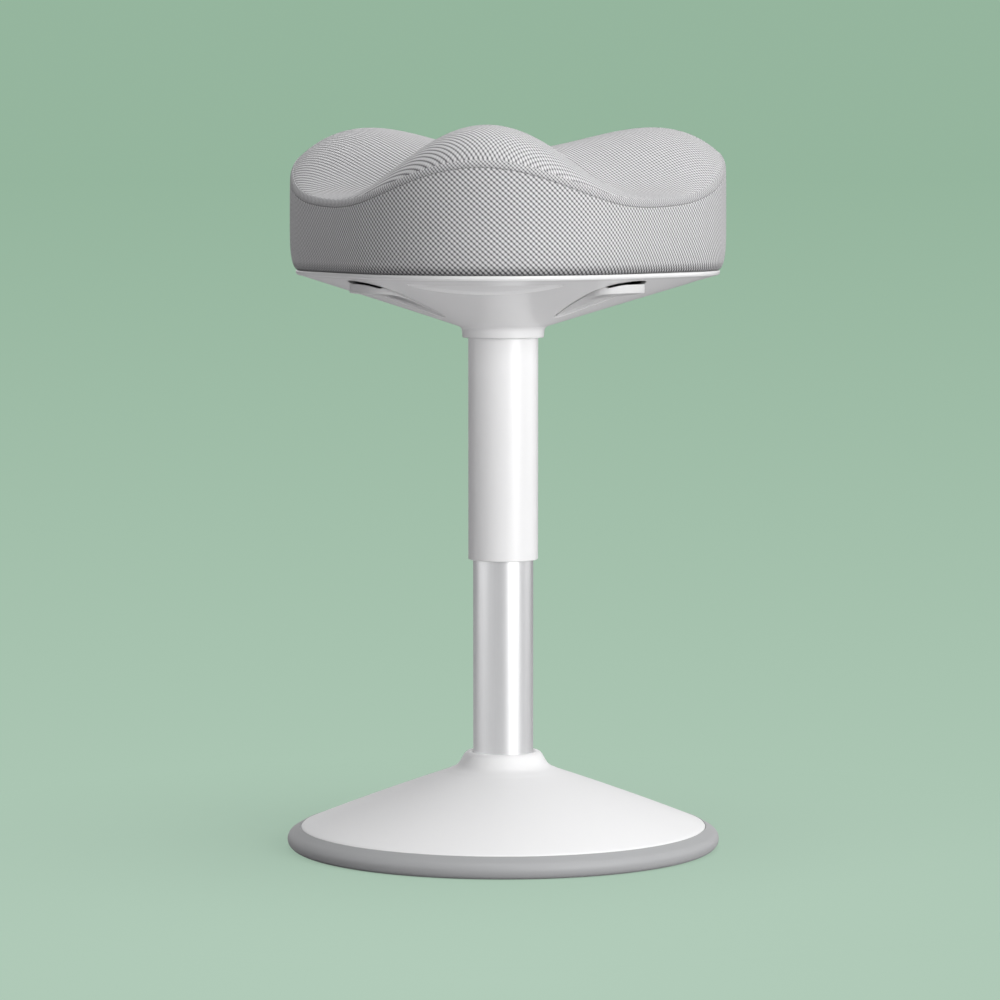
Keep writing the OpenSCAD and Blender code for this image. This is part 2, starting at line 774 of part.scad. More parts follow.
// Return spring: an open helix between the plate and the lever's arm
module return_spring(side) {
    turns = 4;
    steps = 14;
    sides = 6;
    wire_r = spring_wire / 2;
    z0 = plate_z + plate_t + wire_r;
    z1 = button_top - 0.5 - wire_r;
    total = turns * steps;
    points = [for (i = [0 : total]) let (a = i * 360 / steps, z = z0 + (z1 - z0) * i / total)
        for (k = [0 : sides - 1]) let (b = k * 360 / sides)
            [(spring_r + wire_r * cos(b)) * cos(a), (spring_r + wire_r * cos(b)) * sin(a),
                z + wire_r * sin(b)]];
    faces = concat(
        [for (i = [0 : total - 1]) for (k = [0 : sides - 1]) let (m = (k + 1) % sides,
            a = i * sides)
            each [[a + k, a + m, a + sides + m], [a + k, a + sides + m, a + sides + k]]],
        [[for (k = [sides - 1 : -1 : 0]) k]],
        [[for (k = [0 : sides - 1]) total * sides + k]]
    );
    color(steel) at_lever(side) translate([spring_x, 0, 0]) polyhedron(points, faces);
}

module spring_left() {
    return_spring(-1);
}

module spring_right() {
    return_spring(1);
}

// Lobed outline with straight facets, inset from the cushion's edge
module outline(inset) {
    polygon([for (i = [0 : around - 1]) let (a = i * 360 / around, r = lobed(a, seat_r - inset, bulge))
        [r * cos(a), r * sin(a)]]);
}

// Plywood board that the cushion is built on
module seat_board() {
    color([0.80, 0.66, 0.47]) difference() {
        translate([0, 0, board_z]) linear_extrude(board_t) outline(9);
        for (i = [0 : 3]) rotate([0, 0, i * 90]) {
            cylinder_at_x(83, board_z - 1, board_t + 2, 4);
            cylinder_at_x(83, board_z + board_t - 1.6, 3, 9);
        }
        each_post() cylinder_at_x(post_x, board_z - 1, board_t - 1, 2.6);
    }
}

// Moulded foam: it fills the cover and sits on the board
module seat_foam() {
    t = cover_t + foam_gap;
    low = board_z + board_t;
    color([0.88, 0.85, 0.72]) lobed_body(low, concat(
        [side_station(12, low), side_station(t + 0.9, low), side_station(t, rim_z + 26)],
        [seam_station(t + 0.2, welt_h + 6), seam_station(t + 0.9, welt_h)],
        [seam_station(t + seam_in, t - 0.6)],
        [for (i = [len(top_shares) - 1 : -1 : 0]) top_station(top_shares[i], t)]
    ), rim_z + crown(0) - t, true);
}

// Side panel of the cover, turned under the board at its hem
module cover_side() {
    t = cover_t;
    color(cloth_grey) lobed_loop([
        side_station(30, rim_z), side_station(7, rim_z), side_station(4, rim_z + 2.6),
        side_station(1.6, rim_z + 8), side_station(0.4, rim_z + 16), side_station(0, rim_z + 26),
        seam_station(0.2, welt_h + 6), seam_station(0.9, welt_h),
        seam_station(t + 0.9, welt_h), seam_station(t + 0.2, welt_h + 6),
        side_station(t, rim_z + 26), side_station(t + 0.9, board_z + board_t),
        side_station(4.6, board_z + 5), side_station(8.9, board_z - 0.1),
        side_station(30, board_z - 0.1)
    ]);
}

// Narrow strip between the side panel and the top panel, raised a little
module cover_welt() {
    t = cover_t;
    color(cloth_grey) lobed_loop([
        seam_station(0.9, welt_h), seam_station(0.7, welt_h - 1), seam_station(1.9, 1.4),
        seam_station(seam_in, 0), seam_station(t + seam_in, t - 0.7),
        seam_station(t + 0.9, welt_h)
    ]);
}

// Top panel of the cover, a skin over the foam's three lobes
module cover_top() {
    t = cover_t;
    under = [for (s = top_shares) top_station(s, t)];
    over = [for (i = [len(top_shares) - 1 : -1 : 0]) top_station(top_shares[i], 0)];
    color(cloth_grey) lobed_body(rim_z + crown(0) - t, concat(
        under, [seam_station(t + seam_in, t - 0.7), seam_station(seam_in, 0)], over
    ), rim_z + crown(0));
}

floor_pad();
base_ring();
base_weight();
base_shell();
shell_screws();
column_tube();
guide_bush();
thrust_bearing();
column_washer();
piston_rod();
rod_washer();
bump_stop();
piston();
rod_clip();
lift_cylinder();
rod_guide();
valve_button();
lift_socket();
seat_plate();
plate_screws();
tee_nuts();
upper_sleeve();
sleeve_glide();
sleeve_ring();
seat_pan();
pan_clips();
lever_left();
lever_right();
lever_pins();
spring_left();
spring_right();
seat_board();
seat_foam();
cover_side();
cover_welt();
cover_top();
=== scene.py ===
import json
import math

import bmesh
import bpy
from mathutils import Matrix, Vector


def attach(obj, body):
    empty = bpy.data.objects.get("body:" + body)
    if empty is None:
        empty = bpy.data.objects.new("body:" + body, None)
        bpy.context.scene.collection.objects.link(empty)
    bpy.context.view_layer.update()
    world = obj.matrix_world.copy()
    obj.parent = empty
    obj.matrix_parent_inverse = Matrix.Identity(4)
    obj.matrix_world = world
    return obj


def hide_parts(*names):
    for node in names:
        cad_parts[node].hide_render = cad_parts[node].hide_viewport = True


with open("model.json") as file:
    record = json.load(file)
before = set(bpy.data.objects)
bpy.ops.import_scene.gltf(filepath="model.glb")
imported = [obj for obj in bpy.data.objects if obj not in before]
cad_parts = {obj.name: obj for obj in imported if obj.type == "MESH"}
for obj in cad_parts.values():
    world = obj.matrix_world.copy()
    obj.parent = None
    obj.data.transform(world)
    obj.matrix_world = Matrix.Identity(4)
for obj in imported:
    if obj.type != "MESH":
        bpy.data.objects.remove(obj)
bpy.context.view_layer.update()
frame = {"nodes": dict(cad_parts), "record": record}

MM = 0.001
TURN = 2 * math.pi
FRONT = math.radians(-90)
LOBES = 3
LOBE_TURN = TURN / LOBES

# Sizes in millimetres, as in part.scad
RIM_Z = 480.0
SEAT_R = 176.6
PAN_R = 171.5
BULGE = 17.0
CUSHION_H = 119.0
LOBE_RISE = 49.0
COVER_T = 2.0
BOARD_T = 12.0
BOARD_Z = RIM_Z + 2
COLLAR_Z = RIM_Z - 55
CONE_Z = RIM_Z - 45
CONE_R = 39.2
FLAT_Z = RIM_Z - 4.7
FLAT_IN = 5.0
COLLAR_TOP = CONE_Z + 6
BORE_R = 29.03
WALL = 2.7
WELT_H = 6.3
SEAM_IN = 3.0
SEAM_SHARE = 0.985
CUSHION_TURNS = 288
PRESSURE = 4
# Shares of CUSHION_H in the crown, and of LOBE_RISE in the lobes, the saddles and the rear
CROWN_TOP, CROWN_DOME, CROWN_EDGE = 0.8277, 0.1454, 0.0516
LOBE_NEAR, LOBE_FAR, SADDLE_WIDE, REAR_RISE = 1.832, 1.515, 0.074, 0.169

LEVER_ANGLE = math.radians(51.3)
LEVER_TRAVEL = math.radians(5)
LEVER_TIP = 63.0
LEVER_END = 142.6
LEVER_WALL = 2.4
LEVER_GAP = 1.1
LEVER_FLOOR = 1.5
ROOF_GAP = 1.5
DISH = 1.5
GRIP_FROM = (100.0, RIM_Z - 20.5)
GRIP_TO = (150.0, RIM_Z - 15.4)
EAR_X = 50.0
EAR_Z = RIM_Z - 14
LEVER_TOP = RIM_Z - 0.5 - (LEVER_END - EAR_X) * math.sin(LEVER_TRAVEL)
BUTTON_TOP = RIM_Z - 10
ARM_HALF = 3.0
PIN_BORE = 2.56
NOSE = {-1: 3.2, 1: 8.0}


def lobed(angle, mean, share, wide=0.0, rear=0.0):
    """A value that swells at the lobes; wide spreads the saddles and rear lifts the back."""
    turn = LOBES * (angle - FRONT)
    return (mean + share * math.cos(turn) + wide * math.cos(2 * turn)
            - rear * math.cos(angle - FRONT))


def crown(s):
    """Mean height of the cushion's top over the rim at share s of the radius."""
    return CUSHION_H * (CROWN_TOP - CROWN_DOME * s ** 2.69 - CROWN_EDGE * s ** 14)


def waves(s):
    """What the lobes, the wide saddles and the rear add to the crown at share s."""
    return (LOBE_RISE * (LOBE_NEAR * s * s - LOBE_FAR * s ** 4),
            LOBE_RISE * SADDLE_WIDE * s ** 4, LOBE_RISE * REAR_RISE * s ** 14)


SEAM_Z = RIM_Z + crown(SEAM_SHARE)
SEAM_WAVES = waves(SEAM_SHARE)


def new_piece(name, points, faces, sharp=40):
    """A smooth-shaded object from points in millimetres, with its normals outward."""
    mesh = bpy.data.meshes.new(name)
    mesh.from_pydata([(x * MM, y * MM, z * MM) for x, y, z in points], [], faces)
    work = bmesh.new()
    work.from_mesh(mesh)
    bmesh.ops.remove_doubles(work, verts=work.verts, dist=0.02 * MM)
    bmesh.ops.recalc_face_normals(work, faces=work.faces)
    work.to_mesh(mesh)
    work.free()
    mesh.shade_smooth()
    mesh.set_sharp_from_angle(angle=math.radians(sharp))
    piece = bpy.data.objects.new(name, mesh)
    bpy.context.scene.collection.objects.link(piece)
    return piece


def ring_faces(rings, count, looped):
    """Quads between rings of count points each; looped joins the last ring to the first."""
    faces = []
    last = rings if looped else rings - 1
    for i in range(last):
        j = (i + 1) % rings
        for k in range(count):
            m = (k + 1) % count
            faces.append((i * count + k, i * count + m, j * count + m, j * count + k))
    return faces


def capped(rings, count):
    """Quads between rings, with a flat face over the first ring and the last."""
    faces = ring_faces(rings, count, False)
    faces.append(tuple(range(count)))
    faces.append(tuple(reversed(range((rings - 1) * count, rings * count))))
    return faces


def loft(name, stations, turns=CUSHION_TURNS, looped=True, sharp=40):
    """Stations of mean radius, lobe share, height, and the shares of its waves."""
    points = []
    for radius, share, z, rise, wide, rear in stations:
        for k in range(turns):
            a = k * TURN / turns
            r = lobed(a, radius, share)
            points.append((r * math.cos(a), r * math.sin(a), lobed(a, z, rise, wide, rear)))
    faces = ring_faces(len(stations), turns, looped)
    return new_piece(name, points, faces, sharp)


def turned(name, profile, turns=192, sharp=35):
    """A closed profile of (radius, height) turned round the axis."""
    return loft(name, [(r, 0, z, 0, 0, 0) for r, z in profile], turns, True, sharp)


def arc(cx, cy, r, a0, a1, n):
    """Points of an arc, with its angles in degrees."""
    out = []
    for i in range(n + 1):
        a = math.radians(a0 + (a1 - a0) * i / n)
        out.append((cx + r * math.cos(a), cy + r * math.sin(a)))
    return out


def smoothed(points, per=6):
    """A Catmull-Rom curve through the points."""
    out = []
    for i in range(len(points) - 1):
        p0 = points[max(i - 1, 0)]
        p1, p2 = points[i], points[i + 1]
        p3 = points[min(i + 2, len(points) - 1)]
        for j in range(per):
            t = j / per
            out.append(tuple(
                0.5 * (2 * b + (c - a) * t + (2 * a - 5 * b + 4 * c - d) * t * t
                       + (3 * b - a - 3 * c + d) * t ** 3)
                for a, b, c, d in zip(p0, p1, p2, p3)))
    out.append(points[-1])
    return out


def soft_step(x):
    """Goes from 0 to 1 with flat ends as x does."""
    x = min(max(x, 0.0), 1.0)
    return x * x * (3 - 2 * x)


def side(inset, z, follows=0.0):
    """Station on the cushion's side; its height follows the seam's waves by a share."""
    return (SEAT_R - inset, BULGE, z, *(follows * wave for wave in SEAM_WAVES))


def seam(inset, rise):
    """Station at a height over the seam under the top panel."""
    return side(inset, SEAM_Z + rise, 1.0)


def top(s, depth):
    """Station on the cushion's top, sunk below the surface by a depth."""
    return (s * SEAT_R, s * BULGE, RIM_Z + crown(s) - depth, *waves(s))


def group_of(name, inputs, outputs):
    """An empty shader node group; inputs are (name, kind, default)."""
    tree = bpy.data.node_groups.new(name, "ShaderNodeTree")
    for label, kind, value in inputs:
        socket = tree.interface.new_socket(label, in_out="INPUT", socket_type=kind)
        if value is not None:
            socket.default_value = value
    for label, kind in outputs:
        tree.interface.new_socket(label, in_out="OUTPUT", socket_type=kind)
    return tree, tree.nodes.new("NodeGroupInput"), tree.nodes.new("NodeGroupOutput")


FLOAT, VECTOR = "NodeSocketFloat", "NodeSocketVector"


def maths(tree, operation, a, b=None, c=None, clamp=False):
    """A Math node; each of its inputs is a number or another node's socket."""
    node = tree.nodes.new("ShaderNodeMath")
    node.operation = operation
    node.use_clamp = clamp
    for socket, value in zip(node.inputs, (a, b, c)):
        if value is None:
            continue
        if isinstance(value, (int, float)):
            socket.default_value = value
        else:
            tree.links.new(value, socket)
    return node.outputs[0]


def noise(tree, vector, scale, detail=3.0, rough=0.5):
    """A Noise Texture's value over a vector."""
    node = tree.nodes.new("ShaderNodeTexNoise")
    node.inputs["Scale"].default_value = scale
    node.inputs["Detail"].default_value = detail
    node.inputs["Roughness"].default_value = rough
    tree.links.new(vector, node.inputs["Vector"])
    return node.outputs["Fac"]


def scaled(tree, vector, factors):
    """A vector multiplied by a factor on each axis."""
    node = tree.nodes.new("ShaderNodeVectorMath")
    node.operation = "MULTIPLY"
    node.inputs[1].default_value = factors
    tree.links.new(vector, node.inputs[0])
    return node.outputs[0]


def remap(tree, value, low, high, to_low, to_high):
    """A Map Range node from low..high to to_low..to_high."""
    node = tree.nodes.new("ShaderNodeMapRange")
    node.inputs["From Min"].default_value = low
    node.inputs["From Max"].default_value = high
    node.inputs["To Min"].default_value = to_low
    node.inputs["To Max"].default_value = to_high
    tree.links.new(value, node.inputs["Value"])
    return node.outputs["Result"]


def make_grain():
    """Fine moulded grain: a height for the bump, a slow cloudy mask and specks."""
    tree, inp, out = group_of(
        "Moulded grain",
        [("Vector", VECTOR, None), ("Fineness", FLOAT, 1.0)],
        [("Height", FLOAT), ("Cloud", FLOAT), ("Specks", FLOAT)])
    scale = tree.nodes.new("ShaderNodeVectorMath")
    scale.operation = "SCALE"
    tree.links.new(inp.outputs["Vector"], scale.inputs[0])
    tree.links.new(inp.outputs["Fineness"], scale.inputs["Scale"])
    grain_scale, cloud_scale, speck_scale = 900.0, 14.0, 2600.0
    speck_from, speck_full = 0.62, 0.75
    fine = noise(tree, scale.outputs[0], grain_scale, 2.0)
    cloud = noise(tree, inp.outputs["Vector"], cloud_scale, 4.0, 0.6)
    specks = noise(tree, scale.outputs[0], speck_scale, 1.0)
    tree.links.new(fine, out.inputs["Height"])
    tree.links.new(cloud, out.inputs["Cloud"])
    tree.links.new(remap(tree, specks, speck_from, speck_full, 0.0, 1.0), out.inputs["Specks"])
    return tree


def make_brushing():
    """Long scratches of turned or drawn metal; Stretch says how they run on X, Y and Z."""
    tree, inp, out = group_of(
        "Drawn metal",
        [("Vector", VECTOR, None), ("Stretch", VECTOR, (900.0, 900.0, 12.0))],
        [("Height", FLOAT), ("Streaks", FLOAT)])
    mult = tree.nodes.new("ShaderNodeVectorMath")
    mult.operation = "MULTIPLY"
    tree.links.new(inp.outputs["Vector"], mult.inputs[0])
    tree.links.new(inp.outputs["Stretch"], mult.inputs[1])
    fine_scale, slow_scale = 1.0, 0.12
    fine = noise(tree, mult.outputs[0], fine_scale, 3.0, 0.65)
    slow = noise(tree, mult.outputs[0], slow_scale, 2.0)
    tree.links.new(fine, out.inputs["Height"])
    tree.links.new(maths(tree, "MULTIPLY", fine, slow), out.inputs["Streaks"])
    return tree


def make_weave():
    """Plain weave set on the bias: thread height, painted shade that darkens each thread as it dips
    and fills the gaps between threads, and fibre tint.
    """
    tree, inp, out = group_of(
        "Mesh weave",
        [("Across", FLOAT, 0.0), ("Up", FLOAT, 0.0), ("Pitch", FLOAT, 0.00294)],
        [("Height", FLOAT), ("Gap", FLOAT), ("Fibre", FLOAT)])
    thread_round, warp_rise, weft_rise, crossing = 0.7, 0.66, 0.40, -0.06
    gap_floor, gap_rim, fibre_scale = 0.34, 0.94, 900.0
    total = maths(tree, "ADD", inp.outputs["Across"], inp.outputs["Up"])
    apart = maths(tree, "SUBTRACT", inp.outputs["Across"], inp.outputs["Up"])
    unit = maths(tree, "DIVIDE", math.pi * math.sqrt(0.5), inp.outputs["Pitch"])
    warp_sine = maths(tree, "SINE", maths(tree, "MULTIPLY", total, unit))
    weft_sine = maths(tree, "SINE", maths(tree, "MULTIPLY", apart, unit))
    warp = maths(tree, "POWER", maths(tree, "ABSOLUTE", warp_sine), thread_round)
    weft = maths(tree, "POWER", maths(tree, "ABSOLUTE", weft_sine), thread_round)
    both = maths(tree, "MULTIPLY", warp, weft)
    threads = maths(tree, "MULTIPLY_ADD", warp, warp_rise, maths(tree, "MULTIPLY", weft, weft_rise))
    height = maths(tree, "MULTIPLY_ADD", both, crossing, threads)
    tree.links.new(height, out.inputs["Height"])
    # Painted shade: the lower a thread lies, the darker its colour, fully dark in the gaps.
    gap = remap(tree, height, gap_floor, gap_rim, 1.0, 0.0)
    tree.links.new(gap, out.inputs["Gap"])
    spread = tree.nodes.new("ShaderNodeCombineXYZ")
    tree.links.new(maths(tree, "MULTIPLY", total, fibre_scale), spread.inputs["X"])
    tree.links.new(maths(tree, "MULTIPLY", apart, fibre_scale), spread.inputs["Y"])
    tree.links.new(noise(tree, spread.outputs[0], 1.0, 2.0, 0.6), out.inputs["Fibre"])
    return tree


GRAIN = make_grain()
BRUSHING = make_brushing()
WEAVE = make_weave()


class Finish:
    """A material under construction: its tree, its shader and the object coordinates."""

    def __init__(self, name, color, roughness, metallic=0.0):
        self.material = bpy.data.materials.new(name)
        self.material.use_nodes = True
        self.tree = self.material.node_tree
        self.shader = self.tree.nodes["Principled BSDF"]
        self.color = color
        self.shader.inputs["Base Color"].default_value = (*color, 1)
        self.shader.inputs["Roughness"].default_value = roughness
        self.shader.inputs["Metallic"].default_value = metallic
        self.coords = self.tree.nodes.new("ShaderNodeTexCoord").outputs["Object"]

    def place(self, group, **values):
        """Places a shader group in the material, with its own values, and gives its outputs."""
        node = self.tree.nodes.new("ShaderNodeGroup")
        node.node_tree = group
        for label, value in values.items():
            node.inputs[label].default_value = value
        if "Vector" in node.inputs:
            self.tree.links.new(self.coords, node.inputs["Vector"])
        return node.outputs

    def bump(self, height, distance):
        """Feeds a height into the shader's normal."""
        node = self.tree.nodes.new("ShaderNodeBump")
        node.inputs["Distance"].default_value = distance
        node.inputs["Strength"].default_value = 1.0
        self.tree.links.new(height, node.inputs["Height"])
        self.tree.links.new(node.outputs["Normal"], self.shader.inputs["Normal"])

    def tint(self, mask, other):
        """Base colour that goes over to another one by a mask."""
        node = self.tree.nodes.new("ShaderNodeMix")
        node.data_type = "RGBA"
        node.inputs["A"].default_value = (*self.color, 1)
        node.inputs["B"].default_value = (*other, 1)
        self.tree.links.new(mask, node.inputs["Factor"])
        self.tree.links.new(node.outputs["Result"], self.shader.inputs["Base Color"])
        return node

    def rough(self, mask, low, high):
        """Roughness that goes from low to high by a mask."""
        socket = remap(self.tree, mask, 0.0, 1.0, low, high)
        self.tree.links.new(socket, self.shader.inputs["Roughness"])


SPECK_SHARE, SPECK_SHADE, STREAK_SHADE = 0.35, 0.9, 0.82


def moulded(name, color, low, high, grain=0.00004, fineness=1.0, gloss=0.5):
    """Moulded plastic or rubber: fine grain, cloudy gloss and faint specks."""
    finish = Finish(name, color, low)
    finish.shader.inputs["Specular IOR Level"].default_value = gloss
    parts = finish.place(GRAIN, Fineness=fineness)
    finish.bump(parts["Height"], grain)
    finish.rough(parts["Cloud"], low, high)
    finish.tint(maths(finish.tree, "MULTIPLY", parts["Specks"], SPECK_SHARE),
                tuple(c * SPECK_SHADE for c in color))
    return finish.material


def metal(name, color, low, high, stretch, depth=0.00002, metallic=1.0):
    """Drawn, turned or plated metal with streaks along it."""
    finish = Finish(name, color, low, metallic)
    parts = finish.place(BRUSHING, Stretch=stretch)
    finish.bump(parts["Height"], depth)
    finish.rough(parts["Height"], low, high)
    finish.tint(parts["Streaks"], tuple(c * STREAK_SHADE for c in color))
    return finish.material


# The HEM values place the painted shade at the foot of the side panel.
WRAP_R, HEM_FROM, HEM_TO, HEM_PAINTED_SHADE = 178.6, RIM_Z - 0.5, RIM_Z + 8, 0.6
FIBRE_DARK, FIBRE_LIGHT, FUZZ_SCALE, FUZZ_RISE, THREAD_T = 0.84, 1.14, 2400.0, 0.18, 0.00055


def cloth(name, color, gap_shade_color, lay, pitch=0.00294):
    """Light grey mesh weave, laid flat over the top or wrapped round the side, with painted shade
    towards the gaps between threads and at the hem.
    """
    finish = Finish(name, color, 0.86)
    tree = finish.tree
    split = tree.nodes.new("ShaderNodeSeparateXYZ")
    tree.links.new(finish.coords, split.inputs[0])
    x, y, z = split.outputs
    if lay == "flat":
        across, up = x, y
    else:
        across = maths(tree, "MULTIPLY", maths(tree, "ARCTAN2", y, x), WRAP_R * MM)
        up = z
    parts_node = tree.nodes.new("ShaderNodeGroup")
    parts_node.node_tree = WEAVE
    parts_node.inputs["Pitch"].default_value = pitch
    tree.links.new(across, parts_node.inputs["Across"])
    tree.links.new(up, parts_node.inputs["Up"])
    parts = parts_node.outputs
    # Painted shade at the hem: the cloth darkens towards the rim, where it tucks into the pan.
    hem = remap(tree, z, HEM_FROM * MM, HEM_TO * MM, HEM_PAINTED_SHADE, 0.0)
    mix = finish.tint(maths(tree, "ADD", parts["Gap"], hem, clamp=True), gap_shade_color)
    fibre = tree.nodes.new("ShaderNodeMix")
    fibre.data_type = "RGBA"
    fibre.inputs["A"].default_value = (*[c * FIBRE_DARK for c in color], 1)
    fibre.inputs["B"].default_value = (*[min(c * FIBRE_LIGHT, 1) for c in color], 1)
    tree.links.new(remap(tree, parts["Fibre"], 0.3, 0.7, 0.0, 1.0), fibre.inputs["Factor"])
    tree.links.new(fibre.outputs["Result"], mix.inputs["A"])
    fuzz = noise(tree, finish.coords, FUZZ_SCALE, 2.0)
    height = maths(tree, "MULTIPLY_ADD", fuzz, FUZZ_RISE, parts["Height"])
    finish.bump(height, THREAD_T)
    finish.shader.inputs["Sheen Weight"].default_value = 0.12
    finish.shader.inputs["Sheen Roughness"].default_value = 0.5
    return finish.material


def plywood():
    """Birch plywood: grain along X and plies that show at the edge."""
    finish = Finish("Birch plywood", (0.62, 0.45, 0.27), 0.6)
    tree = finish.tree
    grain_stretch, ply_turns, ply_share = (14.0, 160.0, 900.0), 2600.0, 0.25
    grain = noise(tree, scaled(tree, finish.coords, grain_stretch), 1.0, 4.0, 0.6)
    split = tree.nodes.new("ShaderNodeSeparateXYZ")
    tree.links.new(finish.coords, split.inputs[0])
    plies = maths(tree, "SINE", maths(tree, "MULTIPLY", split.outputs["Z"], ply_turns))
    mask = maths(tree, "MULTIPLY_ADD", plies, ply_share, grain, clamp=True)
    finish.tint(mask, (0.36, 0.22, 0.11))
    finish.bump(grain, 0.0001)
    return finish.material


def foam():
    """Cream foam with fine open cells."""
    finish = Finish("Moulded foam", (0.80, 0.74, 0.55), 0.95)
    tree = finish.tree
    cell_scale, cell_depth, cloud_scale = 700.0, 0.0006, 20.0
    cells = tree.nodes.new("ShaderNodeTexVoronoi")
    cells.inputs["Scale"].default_value = cell_scale
    tree.links.new(finish.coords, cells.inputs["Vector"])
    finish.bump(cells.outputs["Distance"], cell_depth)
    finish.tint(noise(tree, finish.coords, cloud_scale), (0.70, 0.62, 0.42))
    return finish.material


def cast_iron():
    """Black paint over a rough casting, a little browner in patches."""
    finish = Finish("Painted casting", (0.035, 0.035, 0.037), 0.6)
    tree = finish.tree
    lump_scale, lump_depth, patch_scale, patch_from, patch_full = 260.0, 0.0004, 30.0, 0.45, 0.8
    finish.bump(noise(tree, finish.coords, lump_scale, 5.0, 0.7), lump_depth)
    patches = noise(tree, finish.coords, patch_scale)
    finish.tint(remap(tree, patches, patch_from, patch_full, 0.0, 1.0), (0.07, 0.06, 0.055))
    return finish.material


WHITE = (0.87, 0.87, 0.87)
ROUND_Z, EVERY_WAY = (60.0, 60.0, 2000.0), (900.0, 900.0, 900.0)
FINISHES = {
    "pad_rubber": moulded("Black sheet rubber", (0.02, 0.02, 0.021), 0.75, 0.92, 0.0002, 0.35),
    "ring_rubber": moulded("Grey rubber", (0.36, 0.365, 0.37), 0.45, 0.60, 0.00006, 0.8),
    "weight_iron": cast_iron(),
    "shell_white": moulded("White satin shell", WHITE, 0.30, 0.42, 0.00003),
    "screw_steel": metal("Zinc plated steel", (0.55, 0.56, 0.57), 0.28, 0.5,
                         (500.0, 500.0, 500.0)),
    "column_silver": metal("Silver column", (0.76, 0.765, 0.77), 0.32, 0.40,
                           (500.0, 500.0, 14.0), 0.000004, 0.85),
    "bush_plastic": moulded("Black acetal", (0.02, 0.02, 0.022), 0.35, 0.5),
    "bearing_steel": metal("Bearing steel", (0.58, 0.58, 0.59), 0.15, 0.3, ROUND_Z),
    "rod_steel": metal("Chromed rod", (0.72, 0.73, 0.74), 0.06, 0.14,
                       (60.0, 60.0, 1500.0), 0.000004),
    "stop_rubber": moulded("Bump rubber", (0.025, 0.025, 0.025), 0.7, 0.9, 0.00015, 0.4),
    "piston_metal": metal("Turned aluminium", (0.74, 0.74, 0.75), 0.2, 0.38,
                          (60.0, 60.0, 2600.0)),
    "clip_steel": metal("Blackened spring steel", (0.10, 0.10, 0.105), 0.3, 0.5,
                        (700.0, 700.0, 700.0)),
    "cylinder_black": moulded("Black lacquer", (0.012, 0.012, 0.013), 0.18, 0.30, 0.00002, 0.6),
    "valve_steel": metal("Valve steel", (0.60, 0.60, 0.61), 0.18, 0.34, ROUND_Z),
    "plate_steel": moulded("Black powder coat", (0.018, 0.018, 0.02), 0.45, 0.62, 0.0001, 0.5),
    "sleeve_white": moulded("White satin sleeve", WHITE, 0.26, 0.34, 0.00002),
    "pan_white": moulded("White pan moulding", (0.88, 0.88, 0.88), 0.20, 0.28, 0.00002),
    "clip_plastic": moulded("Clip nylon", (0.02, 0.02, 0.02), 0.45, 0.6),
    # The levers' white is darker than the pan's, partly as painted shade for the paddles'
    # undersides.
    "lever_white": moulded("White lever moulding, darkened for shade", (0.70, 0.70, 0.70), 0.55, 0.65, 0.00003,
                           gloss=0.15),
    "pin_steel": metal("Pin steel", (0.60, 0.60, 0.61), 0.2, 0.35, EVERY_WAY),
    "spring_steel": metal("Spring wire", (0.40, 0.40, 0.41), 0.25, 0.45, EVERY_WAY),
    "board_ply": plywood(),
    "foam_cream": foam(),
    # Each cloth's second colour is the painted shade of its weave's gaps and of the hem.
    "cloth_side": cloth("Mesh cloth, side panel", (0.73, 0.727, 0.735),
                        (0.032, 0.031, 0.035), "wrapped"),
    # The welt and the top panel are the side panel's cloth set darker, as painted shade.
    "cloth_welt": cloth("Mesh cloth, welt, darkened for shade", (0.62, 0.617, 0.625),
                        (0.05, 0.049, 0.054), "wrapped", 0.0022),
    "cloth_top": cloth("Mesh cloth, top panel, darkened for shade", (0.665, 0.662, 0.67),
                       (0.045, 0.044, 0.048), "flat", 0.0026),
}


def dress(piece, slot, body, *nodes):
    """Gives a new piece its finish, its body and the CAD nodes it stands for."""
    piece.data.materials.clear()
    piece.data.materials.append(FINISHES[slot])
    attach(piece, body)
    if nodes:
        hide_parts(*nodes)
    return piece


def cushion_top():
    """Top panel: a skin over three lobes, rolled down into the seam at its edge."""
    rows, first, spread = 42, 0.012, 0.918
    shares = [first + spread * i / rows for i in range(rows + 1)]
    roll = [(0.943, 0.0), (0.954, 0.0), (0.964, 0.0), (0.971, 0.02), (0.9765, 0.1), (0.981, 0.35),
            (0.984, 1.1)]
    over = [top(s, 0) for s in shares] + [top(s, d) for s, d in roll]
    under = [top(0.972, COVER_T + 0.6)] + [top(s, COVER_T) for s in reversed(shares[::3])]
    piece = loft("cushion_top", over + under, looped=False)
    close_poles(piece, RIM_Z + crown(0), RIM_Z + crown(0) - COVER_T)
    return piece


def close_poles(piece, high, low):
    """Closes the first and last ring of an unlooped loft with a fan to the axis."""
    reach, tolerance = 20 * MM, 0.9 * MM
    work = bmesh.new()
    work.from_mesh(piece.data)
    for z in (high, low):
        hub = work.verts.new((0, 0, z * MM))
        rim = [e for e in work.edges if e.is_boundary and all(
            v.co.xy.length < reach and abs(v.co.z - z * MM) < tolerance for v in e.verts)]
        for edge in rim:
            work.faces.new((edge.verts[0], edge.verts[1], hub))
    bmesh.ops.recalc_face_normals(work, faces=work.faces)
    work.to_mesh(piece.data)
    work.free()
    piece.data.shade_smooth()
    piece.data.set_sharp_from_angle(angle=math.radians(40))


